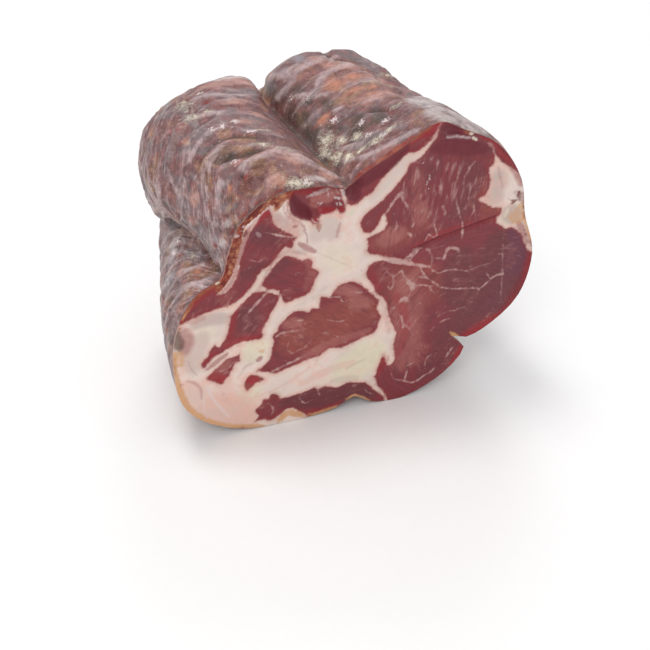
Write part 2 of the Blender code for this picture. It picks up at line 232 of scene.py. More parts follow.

# Stains and growths on the casing, with painted sheen in the steel and pale kinds and painted glints
# in the shine kind: how fast a patch fades, and for each kind its patches, as centre, radius along x
# and z, and radius along y
PATCH_FALL = 0.7
PATCHES = {
    "salmon": [
        ((4, 50, 89), 5, 3.5), ((-2, 47, 89), 4, 2.5), ((1, 37, 89), 4.5, 1.8), ((5, 31, 88), 3, 1.3),
        ((0, 27, 89), 5, 1.2), ((-2, 12, 87), 6, 1.4), ((8, 9, 86), 5, 1.4), ((34, 47, 92), 2.6, 2),
        ((40, 44, 93), 3, 2.6), ((37, 25, 92), 4, 3), ((44, 27, 94), 3, 4), ((44, 36, 93), 4, 4),
        ((-19, 12, 76), 2, 1.4), ((-21, 10, 70), 1.4, 1.4), ((-24, 31, 66), 1.4, 2), ((6, 47, 89), 5, 3),
        ((0, 3, 84), 3.5, 1.8), ((15, 4, 82), 3, 1.5), ((62, 38, 85), 9, 2), ((76, 25, 68), 9, 2),
        ((20, 68, 70), 8, 5), ((-22, 14, 52), 2, 4), ((72, 52, 64), 9, 2),
    ],
    # Bluish grey casing, partly painted sheen on the left flank and the tops
    "steel": [
        ((18, 53, 84), 1.8, 3), ((22, 52, 89), 1.8, 2.2), ((27, 55, 92), 2.2, 3.4), ((-15, 51, 84), 2, 4.5),
        ((-17, 45, 83), 1.6, 3), ((-25, 39, 67), 3, 5), ((-26, 30, 64), 2, 4), ((-13, 9, 81), 1.2, 1.3),
        ((-13, 5, 76), 1.5, 1.4), ((-16, 5, 68), 1.2, 2.4), ((-20, 26, 48), 3, 4), ((-4, 42, 89), 3, 1.1),
        ((-22, 17, 47), 2.4, 3.5), ((12, 33, 87), 2.5, 1.4), ((-5.4, 4.4, 82.6), 2, 1.2),
        ((-18, 17, 80), 1, 2), ((-21, 19, 75), 0.8, 2), ((48, 14, 95), 4, 5), ((58, 49, 84), 9, 2),
        ((78, 33, 60), 9, 2), ((66, 9, 84), 8, 2), ((-10, 62, 70), 5, 3),
    ],
    "amber": [
        ((31, 37, 91), 3.4, 3), ((37, 38, 93), 3.4, 2.6), ((24, 28, 86), 2, 1.6), ((31, 51, 92), 2, 2),
        ((35, 31, 92), 3, 1.2), ((40, 27, 93.6), 3, 1.2), ((36, 44, 92.4), 3, 1.2),
        ((-17, 26, 85), 1.4, 1.5), ((-13, 14, 82), 1.1, 1.1), ((-11, 5, 79), 1.6, 1.8),
        ((-11, 7, 81), 0.9, 0.9), ((-19, 8, 55), 1.6, 1.6), ((1, 2, 83), 1.4, 1.2), ((40, 30, 94), 2, 1.2),
        ((60, 31, 87), 8, 1.5), ((52, 56, 85), 6, 1.6), ((76, 41, 60), 8, 1.5), ((0, 62, 74), 7, 3),
        ((28, 68, 62), 8, 3),
    ],
    "gold": [
        ((-16, 34, 85), 1.5, 1.8), ((-17, 25, 85), 1, 1.3), ((-4, 15, 87), 2, 0.9), ((29, 30, 90), 2, 1.8),
        ((27, 44, 90), 1.3, 1.4), ((40, 33, 94), 2.4, 0.8), ((-21, 40, 80), 1.8, 3),
        ((-19, 42, 57), 2.5, 4), ((-16, 23, 59), 2.5, 3), ((-13, 4, 77), 1.2, 0.9), ((30, 17, 88), 1.1, 1),
        ((25, 59, 90), 2, 1.6), ((-20, 13, 53), 2, 3), ((20, 34, 83), 1.6, 3), ((72, 18, 78), 8, 1.6),
        ((82, 12, 44), 9, 1.6), ((40, 68, 60), 5, 4),
    ],
    "blood": [
        ((-8, 7, 85), 2.4, 1), ((-3, 7, 86), 2.6, 0.7), ((21, 48, 86), 1.6, 1.9), ((24, 50, 89), 1.3, 1.7),
        ((40, 13, 94), 2.6, 2.6), ((43, 20, 94), 2.6, 2), ((-25, 30, 73), 1.5, 2.4),
        ((-20, 24, 80), 1.1, 1.6), ((-22, 25, 78), 0.8, 0.9), ((-24, 23, 71), 1.5, 1),
        ((-17, 12, 63), 1.6, 1.6), ((-20, 30, 67), 1.4, 2.4), ((5, 45, 89), 4, 1.2),
        ((-6, 44, 89), 2.6, 1.4), ((-11, 3, 76), 1, 0.8), ((12, 40, 88), 3, 1.6), ((-2, 35, 89), 4, 0.9),
        ((-15, 5, 74), 2, 1.5), ((-18, 8, 72), 1.3, 2), ((35, 5, 90), 4, 0.9), ((24, 4, 84), 3, 1),
        ((64, 24, 85), 9, 1.6), ((80, 28, 54), 9, 1.8), ((36, 12, 92), 2.4, 1.4), ((-8, 7, 84.4), 1.2, 0.6),
        ((-5, 7.4, 86.6), 1.8, 0.6), ((-6.4, 5, 83), 3.4, 2), ((-3.4, 4.6, 83.6), 2, 1.4),
    ],
    "scarlet": [
        ((-16, 20, 83), 1.2, 2.2), ((-14, 14, 82), 0.9, 1), ((-13, 11, 82), 0.7, 0.9),
        ((-15, 11, 79), 0.6, 0.8), ((-11, 43, 88), 1.6, 1.5), ((-7, 39, 89), 1.6, 1), ((27, 50, 91), 1, 1),
        ((31, 51, 92), 0.9, 1.2), ((26, 26, 87), 1, 0.6), ((-18, 12, 64), 0.8, 1.4),
        ((33, 30, 91), 1.2, 0.7), ((-16, 4, 64), 0.8, 1), ((-12, 4, 79), 0.7, 0.9),
        ((-13, 7, 80), 0.6, 0.8), ((-16, 3.4, 66), 0.6, 0.8), ((-2.4, 1, 80.4), 1.6, 0.9),
        ((-8, 6.4, 84.6), 1.4, 0.6), ((-25, 30, 73), 0.7, 1.2),
    ],
    "brown": [
        ((-1, 0, 82.2), 3, 0.5), ((-5.6, 0, 80), 3, 0.5), ((-10.2, 0, 77), 3, 0.5), ((-13, 0, 71), 3, 0.5),
        ((-14.4, 0, 61), 2.4, 0.7), ((-20, 0.4, 54), 4, 0.5), ((34, 1, 89.5), 8, 0.9),
        ((25, 1, 84), 5, 1.0), ((70, 0.6, 82), 8, 0.9), ((77, 0.6, 70), 6, 0.9), ((82, 0.6, 55), 8, 0.8),
        ((84, 0.6, 40), 8, 0.7),
    ],
    "olive": [
        ((20, 26, 82), 2, 6), ((20, 38, 82), 2, 7), ((19, 50, 83), 2, 6), ((-9, 15, 86), 2.3, 1.3),
        ((-11, 17, 85), 1.7, 1), ((-5, 13, 86), 2.2, 0.9), ((-3, 14, 87), 1.9, 0.8),
        ((-19, 29, 83), 1.2, 2), ((-22, 35, 79), 1.7, 2.8), ((21, 25, 83), 2, 2), ((24, 24, 85), 1.7, 1.2),
        ((19, 16, 80), 1.2, 3), ((23, 16, 83.6), 0.9, 1.6), ((26, 20, 86), 1.6, 1.6),
        ((21, 9, 82), 1.2, 1.6), ((31, 19, 90), 2.8, 1.5), ((27, 13, 86), 3, 1.6), ((27, 32, 88), 2, 2.4),
        ((23, 43, 87), 1.8, 3), ((-24, 12, 44), 2, 3.5), ((-27, 4, 38), 2, 3), ((20, 15, 82), 1.6, 4),
        ((44, 51, 93), 3, 2.4), ((33, 15, 90), 2.4, 1), ((24, 37, 87), 1.6, 2), ((-11, 3, 75), 1, 0.7),
        ((29, 16, 88.4), 3, 2.2), ((35, 15, 91.2), 2.6, 1.8), ((-21, 17, 73), 1.2, 2.4),
        ((-19, 11, 69), 1.2, 2), ((-23, 34, 74), 1.6, 3), ((-17, 6, 62), 1, 2), ((-24, 22, 68), 1.6, 2.4),
        ((-12, 5, 79), 1.4, 1.2), ((-19, 26, 56), 1.6, 3), ((10, 66, 60), 6, 5), ((55, 60, 60), 7, 4),
        ((78, 12, 58), 3, 5), ((21, 33, 84), 1.6, 3),
    ],
    "mould": [
        ((22, 20, 84), 2.2, 2.6), ((22, 12, 83), 1.8, 2.2), ((25, 16, 85), 2, 1.6),
        ((20, 17, 82), 1.8, 2.6), ((28, 14, 87.4), 1.6, 1.4), ((24, 9, 84), 1.6, 1.6),
        ((31, 8, 89), 2.4, 1.3), ((35, 8.3, 91.5), 2.4, 0.8), ((27, 8.4, 86.6), 2, 1),
        ((5, 1.5, 84), 3, 1.3), ((8, 1.5, 83), 2, 1), ((-12.2, 41, 86.8), 2.4, 3),
        ((-12.8, 34, 87.2), 2.4, 2), ((-14, 39, 86), 0.8, 1), ((-8, 34, 89), 1.4, 0.6),
        ((-7, 44, 89), 1.4, 0.7), ((1, 16, 87.5), 2.6, 0.9), ((6, 13, 87.5), 3, 0.7),
        ((9, 11.5, 86.5), 2.6, 0.7), ((13, 9.5, 85), 2.2, 0.8), ((-3, 27, 89), 1.4, 0.5),
        ((4, 23, 88), 2.4, 0.5), ((26, 36, 88), 0.8, 1.1), ((23, 38, 86), 0.6, 0.7),
        ((21, 43, 85), 0.8, 0.9), ((40, 16, 94), 2.4, 0.5), ((-16, 45, 84), 0.7, 1.2), ((52, 43, 88), 4, 1),
        ((70, 35, 78), 5, 0.9), ((8, 64, 72), 4, 3), ((40, 66, 68), 4, 3), ((-18, 14, 56), 1.2, 1.2),
    ],
    # Pale casing, partly a painted highlight along the ridge beside the left rim and on the right shoulder
    "pale": [
        ((-13, 2, 73.4), 1.4, 0.9), ((-15, 2, 67.4), 1.6, 0.9), ((-16, 1.6, 61.6), 1.8, 0.8),
        ((47, 16, 95), 3, 4), ((49, 9, 96), 3.5, 4), ((54, 6, 94), 4, 4), ((47, 6, 96), 3, 3),
        ((56, 1, 93), 4, 2), ((49, 2, 96), 4, 2.5), ((60, 5, 90), 5, 4), ((52, 20, 93), 4, 6),
        ((66, 14, 85), 8, 1.6), ((74, 45, 68), 8, 1.2), ((-22, 20, 45), 2, 4), ((-19, 30, 50), 2, 4),
        ((5, 52, 88), 5, 1.6), ((35, 52, 93), 2, 1.4), ((40, 34, 94), 2.5, 0.6), ((12, 2.5, 83), 3, 0.9),
    ],
    # Painted glints on the casing's moist ridges
    "shine": [
        ((-10, 26, 88), 0.9, 0.8), ((-7, 26, 89), 0.9, 0.8), ((-3, 27, 89), 1, 0.8),
        ((-8, 13, 85), 1.2, 0.9), ((-20, 26, 50), 1.2, 2), ((-18, 28, 53), 1, 1.4),
        ((26, 25, 87), 1.2, 0.7), ((-13, 35, 87), 1.4, 1), ((-7, 44, 89), 1.2, 0.6), ((26, 36, 88), 0.8, 1),
        ((21, 43, 85), 0.8, 1), ((24, 38, 87), 0.8, 0.8), ((8, 1.4, 83.2), 1.4, 0.8),
        ((31, 17, 89), 1.4, 0.6), ((30, 12, 88.6), 1.4, 0.8), ((36, 13, 91.6), 1.4, 0.7),
        ((33, 8, 90.5), 1.4, 0.7), ((0, 22, 89), 2, 0.6), ((16, 28, 85), 1.2, 0.8),
    ],
}

# The lean muscles on the cut. "eye" is the large one on the right, which runs past the rim where it
# meets the casing with no fat between.
MUSCLES = {
    "eye": [
        (25.2, 68.3), (25.8, 70), (27.5, 71.7), (30, 73.3), (31.7, 75), (33.3, 76.7), (35, 78.8),
        (35.8, 80), (37.1, 81.7), (37.9, 84.2), (38.3, 85), (40, 85.4), (41.7, 87.1), (43.3, 88.8),
        (45, 91.3), (46, 94), (47, 98), (54, 98), (63, 93), (69, 87.5), (74.5, 81), (77.5, 75),
        (75.8, 73.8), (74, 76.4), (72, 78), (69.8, 79.4), (67.8, 80.8), (66.3, 82.4), (65, 83.6), (65, 82),
        (65.1, 80.4), (63.6, 79.6), (64.2, 77.5), (65, 75), (64.8, 72.5), (64.2, 70.8), (62.5, 70),
        (62.5, 69), (65, 67.5), (67.1, 65.8), (70.4, 65), (70.4, 62.9), (69.6, 61.7), (69.8, 60),
        (71.3, 58.8), (72.9, 57.7), (75.4, 57.7), (77.9, 55.8), (80, 53.8), (80.6, 51.7), (82.1, 49.6),
        (83.3, 47.5), (87, 46), (87, 28), (80, 19), (70, 10), (62, 0), (52, -4), (43, -4), (41.7, 0.8),
        (40.8, 2.5), (39.2, 5), (37.5, 7.1), (36.9, 9.4), (36, 10.8), (36.5, 11.7), (36.7, 14.2),
        (37.3, 16.3), (37.7, 18.3), (38.3, 18.8), (39, 16.7), (39.6, 14.6), (41, 14.2), (41.9, 15.4),
        (42.3, 16.7), (41.5, 20), (41, 22.1), (41.3, 24.2), (41.5, 26.3), (40.6, 27.9), (39.4, 30.6),
        (38.1, 33.3), (37.3, 35.8), (37.1, 37.9), (35.4, 40.6), (34, 41.7), (32.7, 43.1), (31.9, 45.4),
        (30.8, 46.9), (29.2, 48.8), (28.8, 50.4), (30, 52.9), (32.5, 53.8), (35.4, 53.3), (37.5, 52.6),
        (39.2, 51.6), (42.9, 50.5), (45.4, 49.7), (47.1, 49.1), (49, 48.4), (49.4, 48.8), (47, 49.9),
        (44, 51), (41, 52.3), (37.5, 54.0), (33.3, 55.4), (31.3, 56.3), (29.2, 56.9), (28.1, 58.3),
        (28.5, 60), (27.9, 62.3), (30.6, 63.3), (32.8, 64.2), (33.4, 66), (33, 68.3), (32.2, 70),
        (31.2, 68.4), (30.6, 66.2), (29.2, 64.6), (27.7, 64.2), (26.3, 65), (25.4, 66.7),
    ],
    "outer strap": [
        (-4.4, 76), (-2.7, 76.8), (-1.9, 75), (-1.4, 73), (0.1, 70.8), (3.7, 68.3), (6, 66.7), (5.3, 65.4),
        (4.9, 63.5), (2.8, 63.8), (1.4, 62.3), (-0.7, 59.4), (-3.2, 57.9), (-4.9, 55.8), (-5.3, 54.2),
        (-7.4, 51.3), (-9.9, 48.8), (-12.4, 47.7), (-15.7, 47.3), (-19.9, 46.3), (-23.6, 45), (-26.6, 44),
        (-29, 44.6), (-26.6, 50), (-23.4, 53.4), (-20.5, 55.2), (-17.5, 56.2), (-15.4, 56), (-14.8, 54.6),
        (-15.6, 53), (-16.4, 51.9), (-13.9, 52.2), (-12.1, 53.8), (-11, 56), (-10.4, 58.6), (-10.1, 61.4),
        (-9.5, 64.4), (-8.7, 67.4), (-7.6, 70.6), (-6.2, 73),
    ],
    "upper round": [
        (3, 61), (6.2, 60), (8.5, 58.5), (10.1, 59), (11.4, 57.5), (11.6, 55.4), (13.5, 54), (13.7, 52.9),
        (12.6, 50.8), (11.8, 47.7), (9.7, 46.3), (7.2, 45.8), (4.9, 45), (3.7, 45.8), (3, 47.5),
        (2.2, 49.6), (0.5, 50.4), (-1.1, 50.6), (-2.4, 51.7), (-3.2, 52.9), (-2, 55), (-0.7, 57.1),
        (0.5, 58.8),
    ],
    "left wedge": [
        (-5.3, 50.4), (-2.4, 50.2), (1.8, 48.3), (2.2, 46.7), (1.4, 44.6), (0.1, 42.5), (-0.7, 40),
        (-2.2, 36.7), (-1.8, 34.8), (-3, 33.8), (-7.4, 34.2), (-10.7, 33.3), (-13.6, 31.7), (-15.7, 30.8),
        (-17.4, 29.2), (-19, 27.3), (-19.9, 28.8), (-18.2, 30.8), (-17.4, 33.3), (-16.1, 34.6),
        (-14.7, 33.5), (-13.6, 35.4), (-12.4, 38.8), (-12, 41.7), (-11.5, 44.2), (-8.6, 47.5), (-7, 49.2),
    ],
    "left island": [
        (-18.2, 23.3), (-16.1, 25.4), (-12, 28.8), (-9.5, 29.2), (-8.6, 29.8), (-8.4, 27.3), (-9.7, 26.9),
        (-10.3, 25), (-11.5, 22.5), (-13.6, 20), (-15.7, 21.3), (-17.4, 22.3),
    ],
    "small island": [
        (-6.5, 18.8), (-5.3, 20.8), (-3.2, 20.8), (-0.3, 18.5), (-3.2, 17.7), (-5.3, 15.6), (-6.3, 17.1),
    ],
    "lower round": [
        (-2.8, 22.1), (-1.1, 23.3), (1, 25.6), (1.4, 27.9), (1.8, 31.7), (1.4, 33.8), (2.6, 35.4),
        (3, 37.1), (4.7, 39), (6, 40.6), (7.6, 41.3), (10.1, 41), (11.8, 40.2), (12.6, 41.2), (14.9, 41),
        (15.1, 42.9), (15.5, 44.8), (18, 44.2), (19.7, 46.5), (20.5, 47.7), (23.9, 48.4), (26, 47.7),
        (28.5, 45.6), (30, 44.2), (31.5, 42.5), (34, 39.8), (33.8, 36.7), (34.8, 35), (35.4, 33.3),
        (34.4, 29.2), (33.3, 27.9), (30.4, 27.3), (26.4, 25.8), (23.7, 24.8), (19.7, 25.6), (18, 24.4),
        (16.4, 23.3), (13, 22.9), (7.6, 21.3), (3, 20), (0.1, 21.3),
    ],
    "base band": [
        (-2.2, 2.9), (-1.1, 5), (-2.4, 7.1), (-0.7, 9), (-0.1, 10.8), (1.4, 10.8), (2.8, 12.3), (4.7, 11.3),
        (5.5, 9.8), (10.1, 10), (13.5, 10.6), (16.4, 11.5), (17.2, 10.4), (19.7, 11), (23.5, 9.6),
        (27.2, 10.6), (32.5, 9.4), (34.2, 8.3), (36.3, 5.8), (38.8, 3.3), (40.4, 1.5), (39.5, -2), (35, -2),
        (30.2, 3), (24, -2), (17, -1), (13.9, 1.6), (11.4, 3.8), (9.7, 5.2), (7.6, 5.4), (6.2, 4.2),
        (3, 2.1), (0.5, 3.3),
    ],
    "dried band": [
        (20, 80.6), (19.9, 78.8), (20.6, 76.6), (21, 74.6), (23.5, 74.6), (25.1, 76.3), (27.6, 77.5),
        (29.6, 80.8), (31.7, 83.3), (34.2, 86.3), (37.1, 88.3), (39.6, 88.2), (41.7, 89.5), (43.3, 91),
        (45, 93.8), (45.4, 99), (36, 95), (27, 90), (21, 85),
    ],
    "pocket floor": [
        (3, 83), (2.8, 79), (3.2, 77), (4, 75), (6, 73.2), (8.4, 72.2), (10, 71.2), (10.6, 69.9),
        (12.4, 70.2), (12.2, 71.8), (13, 72.8), (16.4, 72.9), (17.4, 73.7), (18.3, 72.2), (19.9, 72.4),
        (20, 74.4), (19.3, 76.4), (18.6, 78.6), (18.8, 80.6), (18, 84),
    ],
}

# Pale veins through the muscles: strength, half width, and the line they follow
VEINS = [
    (1.0, 0.35, [(-3.4, 69.8), (2.2, 67.5), (6, 66.7)]),
    (1.0, 0.55, [(-1, 50.5), (-3, 47.8), (-5.5, 45), (-8, 42)]),
    (1.0, 0.55, [(2.2, 20.8), (7, 22.4), (12.6, 24.4)]),
    (1.0, 0.5, [(2.2, 33.3), (4.3, 34.2), (7.6, 34.2), (11, 34)]),
    (0.9, 0.3, [(17.6, 44.2), (21.4, 43.3), (22.2, 41.7), (25.1, 40.2)]),
    (0.8, 0.25, [(24.3, 44.6), (29.7, 43.1)]),
    (0.8, 0.3, [(8, 37.9), (10.5, 37.5)]),
    (1.0, 0.5, [(32.2, 69.5), (33.4, 70.8), (34.6, 73), (35.9, 75), (37, 76.6)]),
    (0.8, 0.9, [(35.4, 74.4), (36.8, 75.6)]),
    (0.7, 0.35, [(36.8, 75.6), (37.4, 73.8), (39.2, 70.9), (40.4, 69.1)]),
    (0.7, 0.35, [(36.3, 67.1), (36.9, 64.7), (36.2, 63.2)]),
    (0.8, 0.45, [(41.7, 66.5), (42.2, 64.8), (41.6, 63)]),
    (0.8, 0.5, [(40.7, 62), (42.3, 60)]),
    (0.6, 0.45, [(44.4, 69.4), (44, 67.8)]),
    (0.7, 0.5, [(47.4, 68.9), (46.5, 66.4), (46, 64.8)]),
    (0.7, 0.7, [(50.6, 69.4), (51.2, 68.2), (52, 65.6)]),
    (0.9, 0.35, [(48.8, 63.5), (49.3, 62.2), (50.4, 59.3)]),
    (0.9, 0.3, [(46.6, 57.6), (47, 58.8), (47.6, 60), (49.2, 58.8), (50.2, 59.2)]),
    (0.45, 0.4, [(43.1, 74.5), (43, 72.2)]),
    (0.5, 0.4, [(41, 82.8), (41.4, 79.2)]),
    (0.6, 0.5, [(48.7, 78.8), (49.2, 73.5)]),
    (0.5, 0.45, [(51.6, 72.6), (51.3, 70.2)]),
    (0.6, 0.45, [(46.9, 84.8), (47, 81)]),
    (0.45, 0.8, [(50.3, 83.6), (50, 80.5)]),
    (0.5, 0.4, [(54.2, 82.5), (54.2, 79), (53.8, 75)]),
    (0.7, 0.45, [(59, 82.3), (57.4, 80.4), (56.6, 78.6)]),
    (0.45, 0.35, [(56.7, 79.2), (56.2, 77), (56.5, 74)]),
    (0.6, 0.35, [(54.4, 71.4), (56, 67), (57.9, 62.6)]),
    (0.95, 0.5, [(57.9, 62.4), (58.8, 59.3), (58.8, 56.2)]),
    (0.6, 0.35, [(60.4, 68.8), (61.5, 66), (60.8, 64.2)]),
    (0.5, 0.6, [(61, 88.6), (63.4, 86.6), (64.8, 84)]),
    (0.4, 0.3, [(60.5, 78), (60, 74)]),
    (0.8, 0.3, [
        (46.5, 49.3), (47, 47.8), (49.3, 44.6), (53.5, 41), (55, 40), (60, 38.5), (65.5, 37.7),
        (68.4, 36.8),
    ]),
    (0.8, 0.4, [(68, 36.6), (71, 39.4), (72.8, 40.8), (75.5, 40.9)]),
    (0.95, 1.5, [(36, 53.4), (40, 51.9), (43, 50.8)]),
    (0.9, 0.9, [(43, 50.8), (47.4, 49.3)]),
    (1.0, 1.5, [(41.2, 52), (43.2, 53.6), (44.2, 55)]),
    (0.6, 0.3, [(44.2, 55.2), (46.4, 55.5)]),
    (0.8, 0.8, [(47.4, 55.2), (48.6, 54.5)]),
    (0.35, 0.4, [(48.8, 54), (50.1, 51.2), (50, 49), (49.4, 48.4)]),
    (0.45, 0.3, [(50.1, 51.2), (52, 51), (54, 50.4)]),
    (0.9, 0.8, [(54, 50.4), (54.3, 52.9), (55, 54)]),
    (0.8, 0.5, [(55.6, 54), (57.9, 53.2), (59, 51.4)]),
    (0.4, 0.3, [(72.8, 56.8), (75, 42.6), (76.8, 31)]),
    (0.85, 0.3, [
        (49.6, 48.4), (51, 46.8), (53.3, 45.5), (54.9, 46.1), (58.9, 45.6), (62.6, 44.4), (63.9, 43),
    ]),
    (0.45, 0.2, [(63, 44.5), (66.8, 45.4), (70.4, 45.7)]),
    (0.95, 1.2, [(42.8, 44.8), (44.9, 42.5), (44.7, 40.6)]),
    (0.8, 0.3, [(44.9, 42.5), (47.6, 42.4), (50.7, 41.3), (51, 40.1), (52.6, 38.6)]),
    (0.6, 0.25, [(50.7, 41.3), (53.5, 41)]),
    (0.6, 0.25, [(69.6, 42.5), (70.8, 40.4)]),
    (1.0, 1.4, [(41, 37.2), (42.6, 38.2), (44.6, 37)]),
    (0.7, 0.3, [(36.6, 44.2), (37.4, 43), (38.2, 42.4)]),
    (0.7, 0.5, [(38.6, 35.8), (40.2, 35.8)]),
    (0.6, 0.3, [(46.6, 34.6), (48.2, 36), (48.8, 34.4)]),
    (0.5, 0.25, [(60.6, 30.4), (62.5, 31), (65, 30.9)]),
    (0.8, 0.45, [(41.6, 33), (42.6, 31.6), (43.1, 29.8), (43.7, 27.7)]),
    (0.6, 0.3, [(44.1, 28.5), (45.9, 26.7), (47.6, 23.7)]),
    (0.7, 0.3, [(47.7, 30), (47, 27.8)]),
    (0.7, 0.3, [(53.5, 24.1), (54.8, 25.8)]),
    (0.7, 0.35, [(56.2, 26.8), (58, 27.6), (60.4, 27.8)]),
    (0.5, 0.3, [(55.3, 29.3), (57.7, 30.4), (60, 30.6)]),
    (0.9, 0.5, [(62.6, 16.5), (61.3, 14.1), (60.5, 12.2)]),
    (0.7, 0.3, [(53.6, 10.6), (53.5, 13.3), (55.3, 14.7)]),
    (0.7, 0.35, [(46.8, 12.2), (49.3, 13)]),
    (0.8, 0.4, [
        (41.5, 11.8), (42.6, 8.6), (44.2, 7.6), (47.1, 6.3), (49.8, 5), (51.9, 5.5), (53.4, 6.6),
        (55.9, 7.6),
    ]),
    (1.0, 0.6, [(46.8, 6.3), (47.4, 6.4)]),
    (0.9, 0.6, [(55.9, 7.8), (57.2, 9)]),
    (0.8, 0.4, [(47.1, 6.3), (47.2, 9.3), (47.5, 10.9)]),
    (0.5, 0.25, [(72.2, 48.8), (73.4, 48.4)]),
    (0.5, 0.3, [(76, 34.6), (76.4, 32.6)]),
    (0.7, 0.3, [(35.5, 50.5), (36.4, 48.6), (38.6, 47.4), (40.4, 48.8), (41.4, 46.8), (43, 44.8)]),
    (0.6, 0.3, [(37.4, 48.2), (38.2, 45.6), (38.2, 43.4)]),
    (0.6, 0.3, [(46.4, 45.6), (47.6, 45), (49, 44.8)]),
    (0.7, 0.25, [(-8, 62), (-4.5, 60.5), (-2.5, 61.5)]),
    (0.6, 0.25, [(8, 26), (12, 27.5), (14, 30)]),
    (0.6, 0.22, [(8, 26), (6.3, 28), (6.6, 31)]),
    (0.5, 0.2, [(18, 36), (22, 34.5), (25, 35)]),
    (0.8, 0.3, [(11.5, 8.5), (13.5, 6), (16, 6.5)]),
    (0.7, 0.25, [(17.5, 10), (18.5, 7.5)]),
    (0.7, 0.3, [(1.5, 9), (3.5, 6.5), (3, 4)]),
    (0.6, 0.25, [(33, 7.5), (34.5, 5), (37, 3.5)]),
    (0.6, 0.25, [(-15.5, 24.5), (-12, 25), (-10.5, 27)]),
]

# How far a vein is read, how close to the fat or to another vein its end must lie to join it, how thin
# a free end is and how fast it fades, and the share of its drawn width that a vein is shown with
VEIN_REACH = 3.0
VEIN_JOINS_WITHIN = 0.9
VEIN_TIP = 0.2
VEIN_FADE = 0.7
VEIN_FINENESS = 0.55
